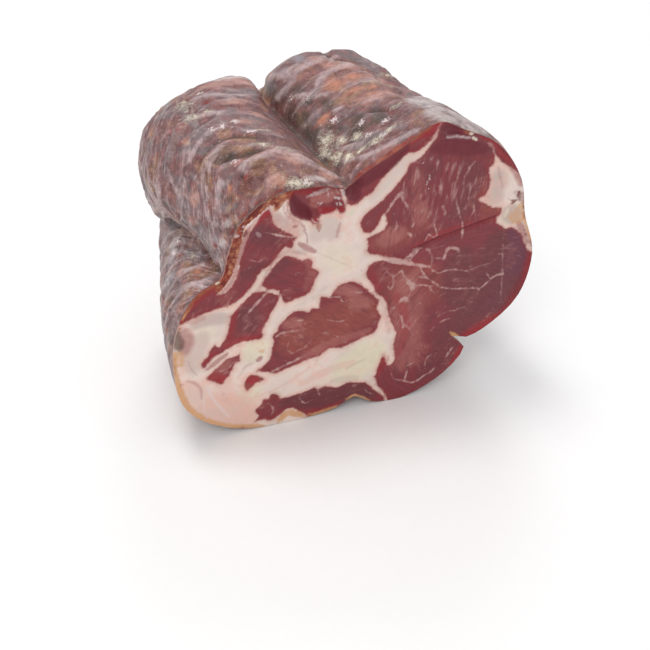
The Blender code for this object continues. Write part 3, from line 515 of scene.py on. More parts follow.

# Tints on the cut, among them painted highlights in the glint kind, a painted glow in three crimson
# bands and a painted shadow line in the maroon kind: for each kind its bands, as strength, half width,
# soft edge, and the line
TINTS = {
    "crimson": [
        (1.0, 0.7, 0.7, [(-2.4, 76.2), (-4, 75), (-6, 73)]),
        # Painted glow: light through the thin lean edge at the lower right, in this band and the next two
        (1.0, 0.8, 4.0, [(83.6, 31), (81, 26), (76, 23), (72, 21.3), (66.5, 19)]),
        (0.75, 0.5, 3.4, [(85, 47), (85, 42), (84.6, 36), (83.4, 30)]),
        (0.5, 0.5, 7.0, [(83.4, 33), (81, 27)]),
        (0.6, 0.7, 1.2, [(43, 56), (46, 57.4), (50, 59), (54, 60), (58, 60.8), (61, 61.4)]),
        (0.6, 0.6, 1.2, [(-14, 36.4), (-11, 35.8)]),
        (0.9, 0.8, 1.6, [(65.6, 15.5), (65, 12.5), (63, 8.5)]),
        (0.8, 0.4, 1.1, [(59.4, 90), (62.6, 88.4), (65.6, 85.8), (68, 83), (70.4, 80.6)]),
        (0.8, 0.5, 1.1, [(20.5, 81), (23, 84.5), (30, 88), (38, 91.5), (44.5, 95.5)]),
        (1.0, 1.2, 0.8, [(41, 93), (43.6, 94.6), (45.6, 96)]),
        (0.8, 0.8, 1.6, [(-15, 54.6), (-18, 54), (-21.5, 52), (-25, 48.4), (-26.5, 45.5)]),
        (0.6, 0.6, 1.4, [(-12.4, 36.6), (-11.4, 40), (-10.4, 44.6)]),
        (0.6, 0.5, 1.4, [(-13, 33.4), (-8, 34.6), (-3, 34.4)]),
        (1.0, 0.7, 0.7, [(3.6, 79.9), (8, 79.7), (12, 80.2), (17.4, 81)]),
        (1.0, 0.9, 0.6, [(9.6, 79.8), (13, 80.5)]),
        (0.9, 0.7, 0.7, [(12.8, 73.8), (14.6, 73.6), (16.6, 73.4)]),
        (0.9, 0.6, 0.6, [(18.2, 73.2), (19.8, 73.2)]),
        (1.0, 0.6, 0.5, [(9.8, 71.4), (11.2, 70.6), (12, 71.4)]),
        (0.6, 0.3, 1.2, [
            (69.6, 62.4), (64, 61.2), (60, 60.4), (55, 59.3), (50, 58), (46, 56.6), (43.4, 55.6),
        ]),
        (0.6, 1.2, 1.6, [(37.4, 18), (37.6, 12)]),
        (0.5, 1.0, 2.0, [(40, 40), (42.8, 34), (44.5, 26), (43.5, 18)]),
        (0.5, 0.6, 1.5, [(29.6, 52.6), (31.4, 48), (34.4, 43.6)]),
        (0.9, 0.6, 2.0, [(-5.2, 19.4), (-3, 18.8)]),
        (0.7, 0.8, 2.4, [(-16.4, 23.6), (-13.4, 21.4)]),
        (0.6, 0.6, 2.0, [(-18.6, 29), (-16.4, 31.6)]),
        (0.5, 0.6, 1.2, [(14, 1.8), (20, 2), (26, 3)]),
    ],
    "maroon": [
        (0.95, 1.2, 1.8, [(4.8, 78), (5.6, 75.8), (7.6, 74), (9.4, 72.8)]),
        (0.9, 2.0, 1.5, [(21, 78.5), (24, 81.5), (31, 86), (36, 90)]),
        (0.9, 1.3, 1.3, [(47, 94.6), (51, 94), (54.5, 92)]),
        # A painted shadow: the thin dark line under the crown's flap
        (1.0, 0.15, 0.35, [(45.6, 90.8), (51, 90), (56, 88.8), (60, 87.6)]),
        (0.7, 1.4, 2.4, [(45, 88.8), (53, 87.4), (61, 85.6)]),
        (0.9, 1.6, 1.2, [(21, 78.5), (23, 77)]),
        (0.8, 0.3, 0.6, [(64, 88.4), (69, 83.6), (73, 79.4), (76, 75)]),
        (0.8, 0.2, 0.7, [
            (69.6, 62.4), (64, 61.2), (60, 60.4), (55, 59.3), (50, 58), (46, 56.6), (43.4, 55.6),
        ]),
        (0.5, 0.2, 0.5, [(37, 55), (40, 53.6), (43, 52.6)]),
    ],
    "rind": [
        (1.0, 1.7, 0.4, [(6, 82.2), (1, 81.1), (-3.4, 79.3), (-6.8, 77), (-9.7, 74.4), (-11.8, 71)]),
        (1.0, 1.4, 0.5, [
            (-9.8, 74.6), (-11, 71), (-11.7, 67.4), (-12.4, 64), (-13.1, 60.6), (-14.2, 56.6),
            (-16, 53.6),
        ]),
        (0.7, 0.5, 1.2, [(-26.6, 46.6), (-27.4, 44), (-27.6, 42)]),
        (0.75, 0.5, 1.0, [(-16, 55.4), (-19, 54.4), (-22.4, 52), (-25, 48.8), (-26.6, 46)]),
        (0.7, 0.6, 1.4, [(2.2, 80.2), (0.4, 79), (-0.4, 77)]),
        (0.6, 0.5, 0.6, [(20, 82), (24, 84.8), (30, 88.4), (38, 92.4), (43, 95)]),
        (0.5, 0.25, 0.6, [(76.8, 71), (77.6, 66), (78.8, 62), (80.6, 58.5), (82.7, 54), (84.5, 49.5)]),
        (0.7, 0.5, 0.8, [(52.4, 94.6), (54.2, 93.2), (55.6, 91.6)]),
        (0.6, 0.5, 0.9, [(12.4, 69.6), (12.6, 67.8)]),
        (0.3, 1.0, 1.6, [(64.5, 66), (67.5, 65), (69.6, 64.4)]),
        (0.6, 0.3, 1.0, [(-28.8, 34), (-28.4, 29), (-28, 25)]),
        (0.5, 0.2, 0.9, [(-14, 3.6), (-9, 2), (-4, 0.8)]),
    ],
    "rust": [
        (1.0, 0.9, 0.7, [(-5.4, 78.4), (-7.6, 76.8), (-9.8, 75.2)]),
        (0.7, 0.4, 0.6, [(-8.8, 71.2), (-9.4, 69.8)]),
        (0.5, 0.4, 0.8, [(-12.8, 65), (-13.8, 61), (-14.8, 57.6)]),
        (0.5, 0.2, 0.4, [(71.8, 68.2), (73.6, 67.2), (75.8, 67.2)]),
        (0.6, 0.6, 1.0, [(75.6, 69.6), (76.6, 67)]),
        (0.6, 0.3, 0.6, [(73.8, 66.2), (75.4, 67.2)]),
        (0.5, 0.2, 0.6, [(79.6, 57), (81.4, 53.4), (83.4, 50)]),
    ],
    "scarlet": [
        (0.9, 0.5, 0.7, [(-0.4, 81.2), (-2.6, 80.4)]),
        (1.0, 0.7, 0.7, [(-11.4, 66.6), (-12.2, 63.6)]),
        (0.8, 0.6, 0.7, [(-11.7, 63.4), (-12.3, 60), (-13, 57.6)]),
        (0.8, 0.5, 0.8, [(-2.6, 79.8), (-5, 78.4)]),
        (0.5, 0.4, 0.5, [(-2.6, 76.6), (-4, 75.4), (-5.8, 73.8)]),
        (0.6, 0.5, 0.8, [(-15.4, 54.8), (-17, 54.2)]),
        (0.7, 0.6, 0.9, [(-20, 53), (-22, 51.6), (-24, 48.6)]),
    ],
    "tan": [
        (1.0, 0.8, 2.0, [
            (-28.6, 34), (-28.2, 27), (-26.4, 19), (-23.6, 12.6), (-18, 6.6), (-10, 2.4), (0, 0),
        ]),
        (0.6, 0.6, 1.8, [(-26.4, 34), (-26, 30)]),
        (0.9, 0.4, 0.7, [(-23.8, 50.2), (-24.8, 48.4), (-26, 46)]),
        (0.7, 0.4, 0.6, [(-11.6, 69.4), (-11, 67.8)]),
        (0.8, 0.9, 0.8, [(5.5, 1.2), (8, 3.6), (10.5, 2.8), (13, 1.4)]),
        (0.8, 0.35, 0.4, [(14, 1.0), (24.7, 1.9), (30, 4.8), (35.5, 1.5)]),
        (0.9, 0.45, 0.5, [(60.5, 22), (62.4, 20.6), (64, 18.8)]),
        (0.6, 1.2, 2.0, [(76.6, 63.4), (75.4, 61.6), (77.5, 59.5)]),
        (0.7, 0.4, 0.9, [(76.8, 66), (78.2, 61.5), (80.6, 57), (84.4, 49.6)]),
        (0.6, 0.6, 1.4, [(1.4, 80), (0.2, 78.4), (-0.6, 76.6)]),
        (0.5, 0.5, 0.6, [(-2.2, 29.6), (-1.2, 28.8)]),
        (0.6, 0.5, 0.8, [(-9.8, 71.6), (-9.2, 73)]),
    ],
    "cream": [
        (0.9, 0.35, 0.4, [(55.6, 91.8), (56.8, 90.4), (58.2, 89)]),
        (0.8, 0.5, 0.8, [(20.4, 72), (21.8, 71.6), (22.6, 73)]),
        (0.7, 0.35, 0.4, [(16.6, 81.4), (18.6, 80.6)]),
        (0.9, 0.25, 0.35, [(-24, 51.9), (-22, 53.2), (-20, 54.9), (-18, 55.7), (-15.6, 55.9)]),
        (0.6, 0.5, 0.8, [(73, 64.5), (72, 62)]),
    ],
    # Painted highlights: glints on wet ridges and along thin edges of tissue
    "glint": [
        (0.95, 0.1, 0.3, [(-8.8, 72.2), (-7.2, 73.7), (-5.4, 75.4), (-3.8, 76.9), (-2.4, 78)]),
        (0.8, 0.35, 0.35, [(-11.4, 69.8), (-11.1, 70.6)]),
        (0.8, 0.3, 0.35, [(-10.8, 71.3), (-10.4, 71.8)]),
        (0.7, 0.25, 0.35, [(-9.9, 72.5), (-9.2, 73.3)]),
        (0.6, 0.3, 0.5, [(9, 77.8), (12, 79), (15.4, 79.6)]),
        (0.6, 0.15, 0.3, [(10.4, 71.6), (11.2, 70.4), (12.2, 70.8), (11.8, 72)]),
        (0.55, 0.35, 0.3, [(48.6, 91.2), (51.4, 91.1), (54, 90.6), (56.4, 90)]),
        (0.45, 0.2, 0.4, [(17, 79.8), (18.4, 77.2)]),
        (0.4, 0.2, 0.3, [(15.6, 79.4), (16.4, 77.4)]),
        (0.7, 0.1, 0.15, [(40.2, 85.6), (42.8, 85.3)]),
        (0.7, 0.1, 0.15, [(40.6, 84.6), (42.4, 84.3)]),
        (0.6, 0.08, 0.15, [(43.6, 85.6), (45.4, 85)]),
        (0.6, 0.1, 0.15, [(38.6, 85.4), (39.8, 85.1)]),
        (0.7, 0.1, 0.15, [(44.8, 80.2), (45.2, 78.6)]),
        (0.7, 0.1, 0.15, [(44.3, 78.6), (44.5, 76.8)]),
        (0.7, 0.1, 0.12, [(45.1, 76.4), (45.3, 75)]),
        (0.35, 0.4, 0.7, [(-5.6, 70), (-4.6, 68.6)]),
        (0.9, 0.15, 0.2, [(12.2, 75.6), (13.6, 74.9)]),
        (0.9, 0.12, 0.2, [(12.9, 74.6), (13.3, 75.9)]),
        (0.9, 0.18, 0.2, [(17, 76.6), (19.2, 75.6)]),
        (0.9, 0.15, 0.2, [(17.6, 74.6), (19.6, 74.4)]),
        (0.8, 0.12, 0.2, [(18.6, 77.2), (18.4, 75)]),
        (0.8, 0.12, 0.15, [(22, 29), (22.2, 29.2)]),
        (0.6, 0.2, 0.8, [(-18, 20), (-16, 15.4), (-13.4, 11), (-10.6, 7)]),
        (0.5, 0.2, 0.6, [(-19, 18), (-18.4, 11)]),
        (0.6, 0.25, 0.5, [(19.2, 80), (19.6, 78), (20.2, 76)]),
        (0.5, 0.2, 0.4, [(14.6, 79.4), (15.2, 77.4)]),
    ],
    "mauve": [
        (0.45, 1.3, 1.8, [(-2.2, 76.4), (0.5, 73.4), (4, 70.4), (7, 67.8)]),
        (0.6, 0.2, 0.35, [(1.4, 79), (1.7, 76), (3, 73.6), (5.4, 71.6)]),
        (0.7, 0.2, 0.35, [(2.4, 78.6), (2.8, 75.6), (4.6, 72.8), (7.2, 70.8), (9, 67), (9.4, 64)]),
        (0.5, 0.3, 1.0, [(3.2, 73.6), (5, 71.6), (8, 69.8)]),
        (0.8, 0.6, 0.8, [(7, 64.4), (9.4, 62.6), (12, 60.8)]),
        (0.95, 0.6, 0.7, [(-8.2, 72), (-9, 68.6), (-9.9, 65), (-10.9, 61)]),
        (0.75, 0.6, 0.7, [(-10.8, 61.4), (-11.4, 58), (-12.2, 55.6), (-13.6, 53.6), (-15, 52.4)]),
        (0.6, 0.4, 0.6, [(-7.8, 72.4), (-5.6, 75), (-3.4, 76.6)]),
        (0.8, 0.8, 3.0, [(-25.4, 41), (-24.4, 38), (-25, 34.6)]),
        (0.8, 0.7, 0.6, [(-2.8, 26), (-1.8, 27)]),
        (0.35, 0.2, 0.5, [(12, 60.8), (17, 57.8), (24.4, 53.2)]),
        (0.5, 0.5, 1.0, [(-8, 46.5), (-3.2, 52.4), (-1, 58.6), (3.4, 62.4), (9, 60.6)]),
        (0.8, 0.5, 0.8, [(-18, 26.4), (-15, 28.8), (-12.4, 30.6)]),
        (0.5, 0.2, 0.4, [(-19.4, 25.4), (-16, 28.4), (-13, 31)]),
        (0.25, 0.6, 1.2, [(4, 43), (12, 44.6), (17, 48), (24, 51)]),
        (0.4, 0.6, 1.4, [(31, 47), (35, 41), (37, 34), (39, 27)]),
        (0.6, 0.3, 0.7, [(18.9, 69), (18.4, 66.6), (18.2, 64.6)]),
        (0.5, 0.25, 0.5, [(66.6, 80), (68.2, 75.4), (69.6, 72)]),
        (0.5, 0.5, 1.0, [(74, 70), (75.8, 69)]),
        (0.8, 0.6, 1.6, [(71.4, 78.8), (73.8, 76.2), (75.6, 72.4)]),
        (0.5, 0.7, 1.0, [(38.4, 14), (39.8, 17.5)]),
        (0.7, 0.8, 1.2, [(43.4, 91.6), (45.4, 94.6), (46.6, 97)]),
        (0.6, 0.6, 1.0, [(33, 55.5), (40, 52.7), (50, 48.4)]),
        (0.8, 0.8, 1.0, [(77.4, 59), (80, 54.8), (82.4, 50.6)]),
        (0.55, 0.15, 0.9, [(-24.2, 23.6), (-22, 22.4), (-20.4, 20.8), (-19.6, 18.6), (-19.4, 16)]),
        (0.25, 0.6, 1.4, [(-13.4, 17), (-11.6, 13)]),
        (0.5, 0.15, 0.4, [(-24, 31), (-22.6, 27), (-21, 25)]),
        (0.5, 0.8, 1.4, [(-24, 44.4), (-20, 45)]),
        (0.4, 0.3, 0.8, [(-8, 22), (-6.6, 24.6), (-4, 25.6)]),
    ],
    "pink": [
        (0.7, 6, 8, [(-18, 10), (-8, 5)]),
        (0.6, 3, 5, [(-23, 20), (-20, 12)]),
        (0.6, 0.4, 0.6, [(-23.5, 23.6), (-20.6, 21.6), (-19.4, 18), (-19, 13)]),
        (0.5, 1.6, 2.5, [(-25.5, 33), (-24, 28)]),
        (0.5, 1.5, 3.0, [(67, 78), (70, 73)]),
        (0.5, 1.0, 1.6, [(12, 14), (20, 17), (28, 18.5)]),
        (0.5, 1.5, 2.5, [(-13, 22), (-12, 14)]),
        (0.5, 0.3, 0.8, [(-5, 12), (5, 14.5), (14, 19.5)]),
    ],
    "ashen": [
        (0.8, 2, 4, [(67, 76), (66.4, 71), (68, 69)]),
        (0.9, 2, 2.5, [(73, 63.5), (76, 61)]),
        (0.6, 1.4, 2.0, [(77.5, 58.6), (80.5, 54), (84, 48)]),
        (0.6, 2, 4, [(12, 66), (15, 69), (17, 66)]),
        (0.5, 1.5, 3, [(28, 76), (34, 84), (40, 90)]),
        (0.8, 1, 3, [(-12, 43), (-18, 44), (-22, 43)]),
        (0.6, 2, 4, [(-20, 38), (-22, 34), (-22, 28)]),
        (0.6, 1, 2, [(-2, 75), (4, 69.5)]),
        (0.5, 1.5, 3, [(0, 60.6), (8, 62)]),
        (0.5, 0.3, 0.8, [(26, 16.4), (29, 17.6), (32, 18.6)]),
        (0.5, 0.8, 1.6, [(22, 12.6), (30, 11.8)]),
    ],
    "butter": [
        (1.0, 4, 6, [(26, 15), (34, 21)]),
        (0.6, 2, 5, [(17, 59), (22, 55)]),
        (0.8, 2, 2, [(76, 64), (73, 61)]),
        (0.8, 2, 4, [(-2, 31), (-6, 29)]),
        (0.9, 2, 3, [(-3, 14.6), (-6, 13)]),
        (0.6, 1.5, 3, [(-20, 40), (-18, 38)]),
    ],
    "violet": [
        (1.0, 1.5, 3.0, [(76.6, 55.6), (79, 52), (80.5, 47), (81, 41)]),
        (0.5, 1.5, 4.0, [(76, 50), (77, 40)]),
        (0.6, 0.8, 1.6, [(49, 93.4), (53, 92.6)]),
        (0.4, 1.5, 3.0, [(70, 28), (76, 33)]),
        (0.5, 0.6, 1.4, [(-7, 71), (-7.4, 68.4)]),
    ],
    "marbled": [
        (1.0, 7, 6, [(44, 82), (46, 72), (44, 64)]),
        (1.0, 5, 5, [(54, 80), (54, 70)]),
        (0.8, 2, 4, [(42, 44), (43.4, 32), (44.6, 22)]),
        (0.7, 3, 4, [(34, 60), (36, 66)]),
        (0.5, 3, 4, [(46, 12), (52, 8)]),
    ],
    "dusk": [
        (0.9, 7, 8, [(74, 52), (76, 40), (68, 32)]),
        (0.7, 4, 6, [(60, 50), (62, 34)]),
        (0.6, 2.0, 3, [(48, 92.5), (58, 89), (63, 86)]),
        (0.9, 3, 3, [(8, 8), (22, 7), (36, 5)]),
        (0.6, 3, 5, [(54, 8), (60, 15), (58, 24)]),
        (0.7, 2, 3, [(-6, 70), (0, 67)]),
        (0.7, 2, 3, [(-8, 57), (-1, 57), (3, 58.6)]),
        (0.5, 0.8, 1, [(50, 58.5), (44, 55.5)]),
        (0.6, 3, 4, [(56, 66), (60, 74), (56, 82)]),
        (0.7, 2.5, 3, [(-7, 44), (-6, 39)]),
        (0.7, 3, 5, [(58, 20), (66, 28), (76, 32)]),
        (0.5, 2, 4, [(45, 80), (45, 86)]),
    ],
    "umber": [
        (0.9, 5, 5, [(8, 30), (22, 35), (30, 36)]),
        (0.6, 6, 6, [(42, 45), (50, 40)]),
        (0.7, 3, 4, [(31, 60), (40, 60)]),
        (0.6, 2, 3, [(66, 65), (69, 63)]),
        (0.5, 2, 3, [(45, 63), (45, 66)]),
        (0.8, 2, 3, [(-4, 19), (-3, 18)]),
        (0.6, 3, 3, [(22, 6), (34, 6)]),
    ],
    "rosy": [
        (1.0, 0.8, 2.2, [(20.4, 46), (23, 45.6), (27, 43.6)]),
        (0.7, 1.2, 3.0, [(43.4, 70), (44.4, 65)]),
        (0.9, 2.0, 3.0, [(33, 60.6), (38, 62)]),
        (0.9, 1.0, 2.0, [(5, 37.4), (9, 37.2)]),
        (0.8, 1.4, 3.0, [(26, 41), (30, 38.6)]),
        (0.7, 0.8, 2.0, [(10, 23.4), (20, 26.6), (32, 29)]),
        (0.8, 1.0, 1.6, [(-16, 23), (-12, 27.4)]),
        (0.7, 0.8, 1.0, [(-5, 19.4), (-3, 19)]),
        (0.6, 0.8, 2.0, [(10.4, 57.6), (12, 54), (10.6, 48.6)]),
        (0.7, 3.0, 6.0, [(42.6, 43), (45, 30), (46, 14)]),
        (1.0, 1.5, 1.0, [(11, 77.1), (14, 77.5), (17, 77.6)]),
        (0.8, 0.7, 0.8, [(10.4, 75.4), (12.4, 75)]),
        (0.6, 0.8, 2.0, [(47, 49.4), (44, 46)]),
        (0.5, 1.2, 3.0, [(40.6, 82), (41.6, 76), (41, 71)]),
    ],
    "grey": [
        (1.0, 0.5, 2.6, [(-28.4, 41.4), (-27.6, 39), (-26.6, 36.4)]),
        (0.3, 0.3, 0.5, [(73.6, 66), (75.6, 67.4)]),
        (0.9, 0.3, 0.3, [(-20.6, 53.7), (-20.4, 53.7)]),
        (0.8, 0.3, 0.3, [(-24.2, 13.6), (-24, 13.4)]),
        (0.5, 0.3, 0.3, [(-27.3, 18.6), (-27.1, 18.2)]),
        (0.5, 0.3, 0.3, [(-28, 26.6), (-27.8, 26.2)]),
    ],
    "wet": [
        (1.0, 3.5, 2.5, [(5, 78), (12, 76.5), (21, 77)]),
        (0.8, 1.2, 1.2, [(-3, 78), (-8, 73), (-11, 69)]),
        (0.8, 1.0, 1.0, [(-5.6, 70), (-4.6, 68.6)]),
        (0.7, 1.6, 1.6, [(39, 85.4), (45, 85)]),
        (0.6, 1.0, 1.4, [(44.8, 80), (45, 75)]),
        (0.6, 1.2, 1.2, [(49, 92.5), (56, 91)]),
        (0.5, 0.8, 1.2, [(10.5, 71.5), (12, 69)]),
    ],
}

# The seam between the two halves of the eye, how far from it its slope is read, and the line where the
# eye's face turns a little aside
SEAM = [(69.6, 62.2), (64, 60.9), (60, 60), (55, 58.8), (50, 57.6), (46, 56.3), (43.4, 55.4)]
SEAM_DEPTH = 0.7
SEAM_HALF_WIDTH = 0.45
SEAM_REACH = 3
TURN_LINE = 75.5
TURN_SLOPE = 0.09

# The pocket torn open under the lip: its lower edge, its depth and how far its floor slopes in, and
# the ragged flap in it, as centre, half width, half height, and how far it rises
POCKET_EDGE = [
    (2.4, 81.6), (3, 77.6), (4.8, 74.8), (7.6, 72.5), (10.2, 70.6), (12.2, 71.6), (14, 73), (17, 73.2),
    (19.4, 72.6), (21.6, 74), (24, 76.6), (26, 80), (24, 84.4),
]
POCKET_DEPTH = 2.0
POCKET_SLOPE = 3.6
POCKET_TEAR = 0.25
POCKET_TEAR_SIZE = 1.8
FLAP = ((13.6, 77.4), 3.6, 2.0, 1.3)
FLAP_TEAR = 0.35
FLAP_TEAR_SIZE = 1.6
CROWN_HOLLOW = ((51.0, 93.2), 4.5, 1.5, 0.9)

# How the lean sinks between the fat as it dries, how much of that a vein fills, how the whole cut
# waves, its finer unevenness, and how far from the rim all this begins and over what width it rises
LEAN_SINK = 0.28
SINK_REACH = 1.3
VEIN_FILLS = 0.6
VEIN_FLANK = 0.3
WAVE_HEIGHT = 0.45
WAVE_LENGTH = 22.0
UNEVEN_HEIGHT = 0.1
UNEVEN_SIZE = 3.0
CUT_RELIEF_START = 0.1
CUT_RELIEF_RISE = 0.9

# The grain of each muscle: its direction in degrees from the x axis. The lower half of the eye
# swirls round a centre instead, below a line that falls to the left from its right end.
GRAIN = {
    "eye": 87, "outer strap": 52, "upper round": -28, "left wedge": 48, "left island": 35,
    "small island": 20, "lower round": -32, "base band": 8, "dried band": 42, "pocket floor": 80,
}
SWIRL_CENTRE = (66.0, 22.0)
SWIRL_RADIUS = 20.0
SWIRL_LINE_END = (70.0, 59.0)
SWIRL_LINE_SLOPE = 0.09
MUSCLE_STEP = 9.0


def srgb(code):
    """An sRGB colour such as #7A4B40 as the linear RGBA that a shader takes."""
    parts = [int(code[i : i + 2], 16) / 255 for i in (1, 3, 5)]
    return tuple(p / 12.92 if p <= 0.04045 else ((p + 0.055) / 1.055) ** 2.4 for p in parts) + (1.0,)


def colour_setting(name, code, description):
    """A colour that a user can change, from its sRGB code."""
    return bpy.props.FloatVectorProperty(
        name=name, description=description, subtype="COLOR", size=4, min=0, max=1, default=srgb(code)
    )


def length_setting(name, millimetres, description):
    """A length that a user can change, from its default in millimetres."""
    return bpy.props.FloatProperty(
        name=name, description=description, unit="LENGTH", default=millimetres * MM, precision=5
    )


def smooth_step(value):
    """0 below 0 and 1 above 1, with an easy rise between."""
    value = np.clip(value, 0, 1)
    return value * value * (3 - 2 * value)


def curve_through(points, step, closed=False):
    """A smooth curve through points, with a sample about every step along it."""
    anchors = np.array(points, dtype=float)
    if closed:
        ring = np.vstack([anchors[-1:], anchors, anchors[:2]])
    else:
        ring = np.vstack([2 * anchors[:1] - anchors[1:2], anchors, 2 * anchors[-1:] - anchors[-2:-1]])
    samples = []
    for before, start, end, after in zip(ring, ring[1:], ring[2:], ring[3:]):
        count = max(1, round(float(np.linalg.norm(end - start)) / step))
        t = np.arange(count)[:, None] / count
        bend = 2 * before - 5 * start + 4 * end - after
        twist = 3 * (start - end) + after - before
        samples.append((2 * start + (end - before) * t + bend * t**2 + twist * t**3) / 2)
    if not closed:
        samples.append(anchors[-1:])
    return np.vstack(samples)


def gaps_to(points, line):
    """The distance from each point to the nearest sample of a line."""
    gaps = [
        np.linalg.norm(points[i : i + CHUNK, None] - line[None], axis=2).min(axis=1)
        for i in range(0, len(points), CHUNK)
    ]
    return np.concatenate(gaps) if gaps else np.zeros(0)


def gap_near(points, line, reach):
    """As gaps_to, but only as far as reach: beyond it every point gets reach itself."""
    gaps = np.full(len(points), float(reach))
    inside_box = (points > line.min(axis=0) - reach) & (points < line.max(axis=0) + reach)
    near = np.flatnonzero(inside_box.all(axis=1))
    gaps[near] = np.minimum(gaps_to(points[near], line), reach)
    return gaps


def stroke(points, line, half_width, reach, ends=(0.45, 0.45)):
    """How far each point lies outside a brush stroke, below 0 inside it and never more than reach, and
    how full the stroke is there. It thins towards each end, to that share of its width."""
    curve = curve_through(line, FINE_STEP)
    along = np.linspace(0, 1, len(curve))
    first, last = ends
    rise = first + (1 - first) * along / STROKE_TAPER
    fall = last + (1 - last) * (1 - along) / STROKE_TAPER
    fullness = np.minimum(np.minimum(rise, fall), 1)
    outside, share = np.full(len(points), float(reach)), np.zeros(len(points))
    margin = reach + half_width
    in_box = (points > curve.min(axis=0) - margin) & (points < curve.max(axis=0) + margin)
    near = np.flatnonzero(in_box.all(axis=1))
    for start in range(0, len(near), CHUNK):
        some = near[start : start + CHUNK]
        gaps = np.linalg.norm(points[some, None] - curve[None], axis=2) - half_width * fullness
        closest = gaps.argmin(axis=1)
        outside[some] = np.minimum(gaps[np.arange(len(some)), closest], reach)
        share[some] = fullness[closest]
    return outside, share


def ridge(points, line, half_width, step, reach):
    """How high a soft ridge along a line is at each point, from 0 to 1. It is read no further from the
    line than reach times its half width."""
    gap = gap_near(points, curve_through(line, step), reach * half_width)
    return np.exp(-((gap / half_width) ** 2))


def inside(points, loop):
    """Which points lie inside a closed loop."""
    result = np.zeros(len(points), dtype=bool)
    x, z = points[:, 0], points[:, 1]
    for (x0, z0), (x1, z1) in zip(loop, np.roll(loop, -1, axis=0)):
        if z0 != z1:
            crosses = (z0 > z) != (z1 > z)
            result ^= crosses & (x < (x1 - x0) * (z - z0) / (z1 - z0) + x0)
    return result


def noise_at(points, size, seed=0.0):
    """Smooth noise from -1 to 1 at each point, with lumps about this size. size may differ by axis."""
    scaled = np.zeros((len(points), 3))
    scaled[:, : points.shape[1]] = points / np.array(size)
    return np.array([noise.noise(Vector(p)) for p in (scaled + seed).tolist()])


def solid_tree():
    """The solid's surface as a search tree."""
    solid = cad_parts["coppa"].data
    points = np.array([v.co for v in solid.vertices]) / MM - ORIGIN
    return BVHTree.FromPolygons(points.tolist(), [tuple(p.vertices) for p in solid.polygons])


def cast(tree, distance, tilt, turn):
    """Where a ray from far outside meets the solid on its way to the middle line. The ray stands at
    this turn round the body and is tilted to the rear."""
    share = distance / MIDDLE_LENGTH
    x, z = (a + (b - a) * share for a, b in zip(CUT_MIDDLE, REAR_MIDDLE))
    level = math.cos(tilt)
    ray = Vector((math.cos(turn) * level, math.sin(tilt), math.sin(turn) * level))
    hit = tree.ray_cast(Vector((x, distance, z)) + ray * FAR, -ray)[0]
    if hit is None:
        raise RuntimeError("a ray towards the middle line missed the solid")
    return hit


def column_turns(tree):
    """Turns round the middle line that space the columns evenly along the rim, wider where hidden."""
    fine = np.linspace(0, 2 * math.pi, RIM_SAMPLES, endpoint=False)
    rim = np.array([cast(tree, RIM, 0, turn) for turn in fine])
    steps = np.linalg.norm(np.roll(rim, -1, axis=0) - rim, axis=1)
    first, last = HIDDEN_TURNS
    hidden = (np.degrees(fine) - first) % 360 < last - first
    steps[hidden] *= HIDDEN_SHARE
    travel = np.concatenate([[0], np.cumsum(steps)])
    places = np.linspace(0, travel[-1], COLUMNS, endpoint=False)
    return np.interp(places, travel, np.append(fine, 2 * math.pi))


def relax(rows):
    """Evens out the facets of the solid, and leaves the rim and the row behind it as they are."""
    free = smooth_step((np.arange(len(rows)) - HELD_ROWS) / LOOSENING_ROWS)[:, None, None]
    for _ in range(EVENING_PASSES):
        across = (np.roll(rows, 1, axis=1) + np.roll(rows, -1, axis=1)) / 2
        along = np.concatenate([rows[:1], (rows[:-2] + rows[2:]) / 2, rows[-1:]])
        target = across * EVENING_ACROSS + along * (1 - EVENING_ACROSS)
        rows = rows + free * (target - rows)
    return rows


def casing_base():
    """The casing as rows of points from the rim to the pole, and the turn of each column."""
    tree = solid_tree()
    turns = column_turns(tree)
    shares = np.linspace(0, 1, BODY_ROWS) ** ROW_CROWDING
    rows = [[cast(tree, RIM + (MIDDLE_LENGTH - RIM) * share, 0, t) for t in turns] for share in shares]
    for tilt in np.linspace(0, math.pi / 2, CAP_ROWS + 1)[1:-1]:
        rows.append([cast(tree, MIDDLE_LENGTH, tilt, t) for t in turns])
    pole = np.array(cast(tree, MIDDLE_LENGTH, math.pi / 2, 0))
    return relax(np.array(rows)), turns, pole


def outward(rows):
    """Unit vectors out of the casing at each of its points."""
    across = np.roll(rows, -1, axis=1) - np.roll(rows, 1, axis=1)
    normals = np.cross(np.gradient(rows, axis=0), across)
    return normals / np.maximum(np.linalg.norm(normals, axis=2, keepdims=True), 1e-9)


def flow_of(rows, turns):
    """Coordinates that follow the ribs, of which two go round the body and the third runs across the
    ribs, and how far each point lies from the rim along its column."""
    steps = np.linalg.norm(np.diff(rows, axis=0), axis=2)
    travel = np.vstack([np.zeros(len(turns)), np.cumsum(steps, axis=0)])
    places, lags = zip(*RIB_LAG)
    lag = np.interp(np.degrees(turns), places, lags, period=360)
    circle = FLOW_RADIUS * np.column_stack([np.cos(turns), np.sin(turns)])
    around = np.broadcast_to(circle, (*travel.shape, 2))
    return np.concatenate([around, (travel - lag)[:, :, None]], axis=2), travel


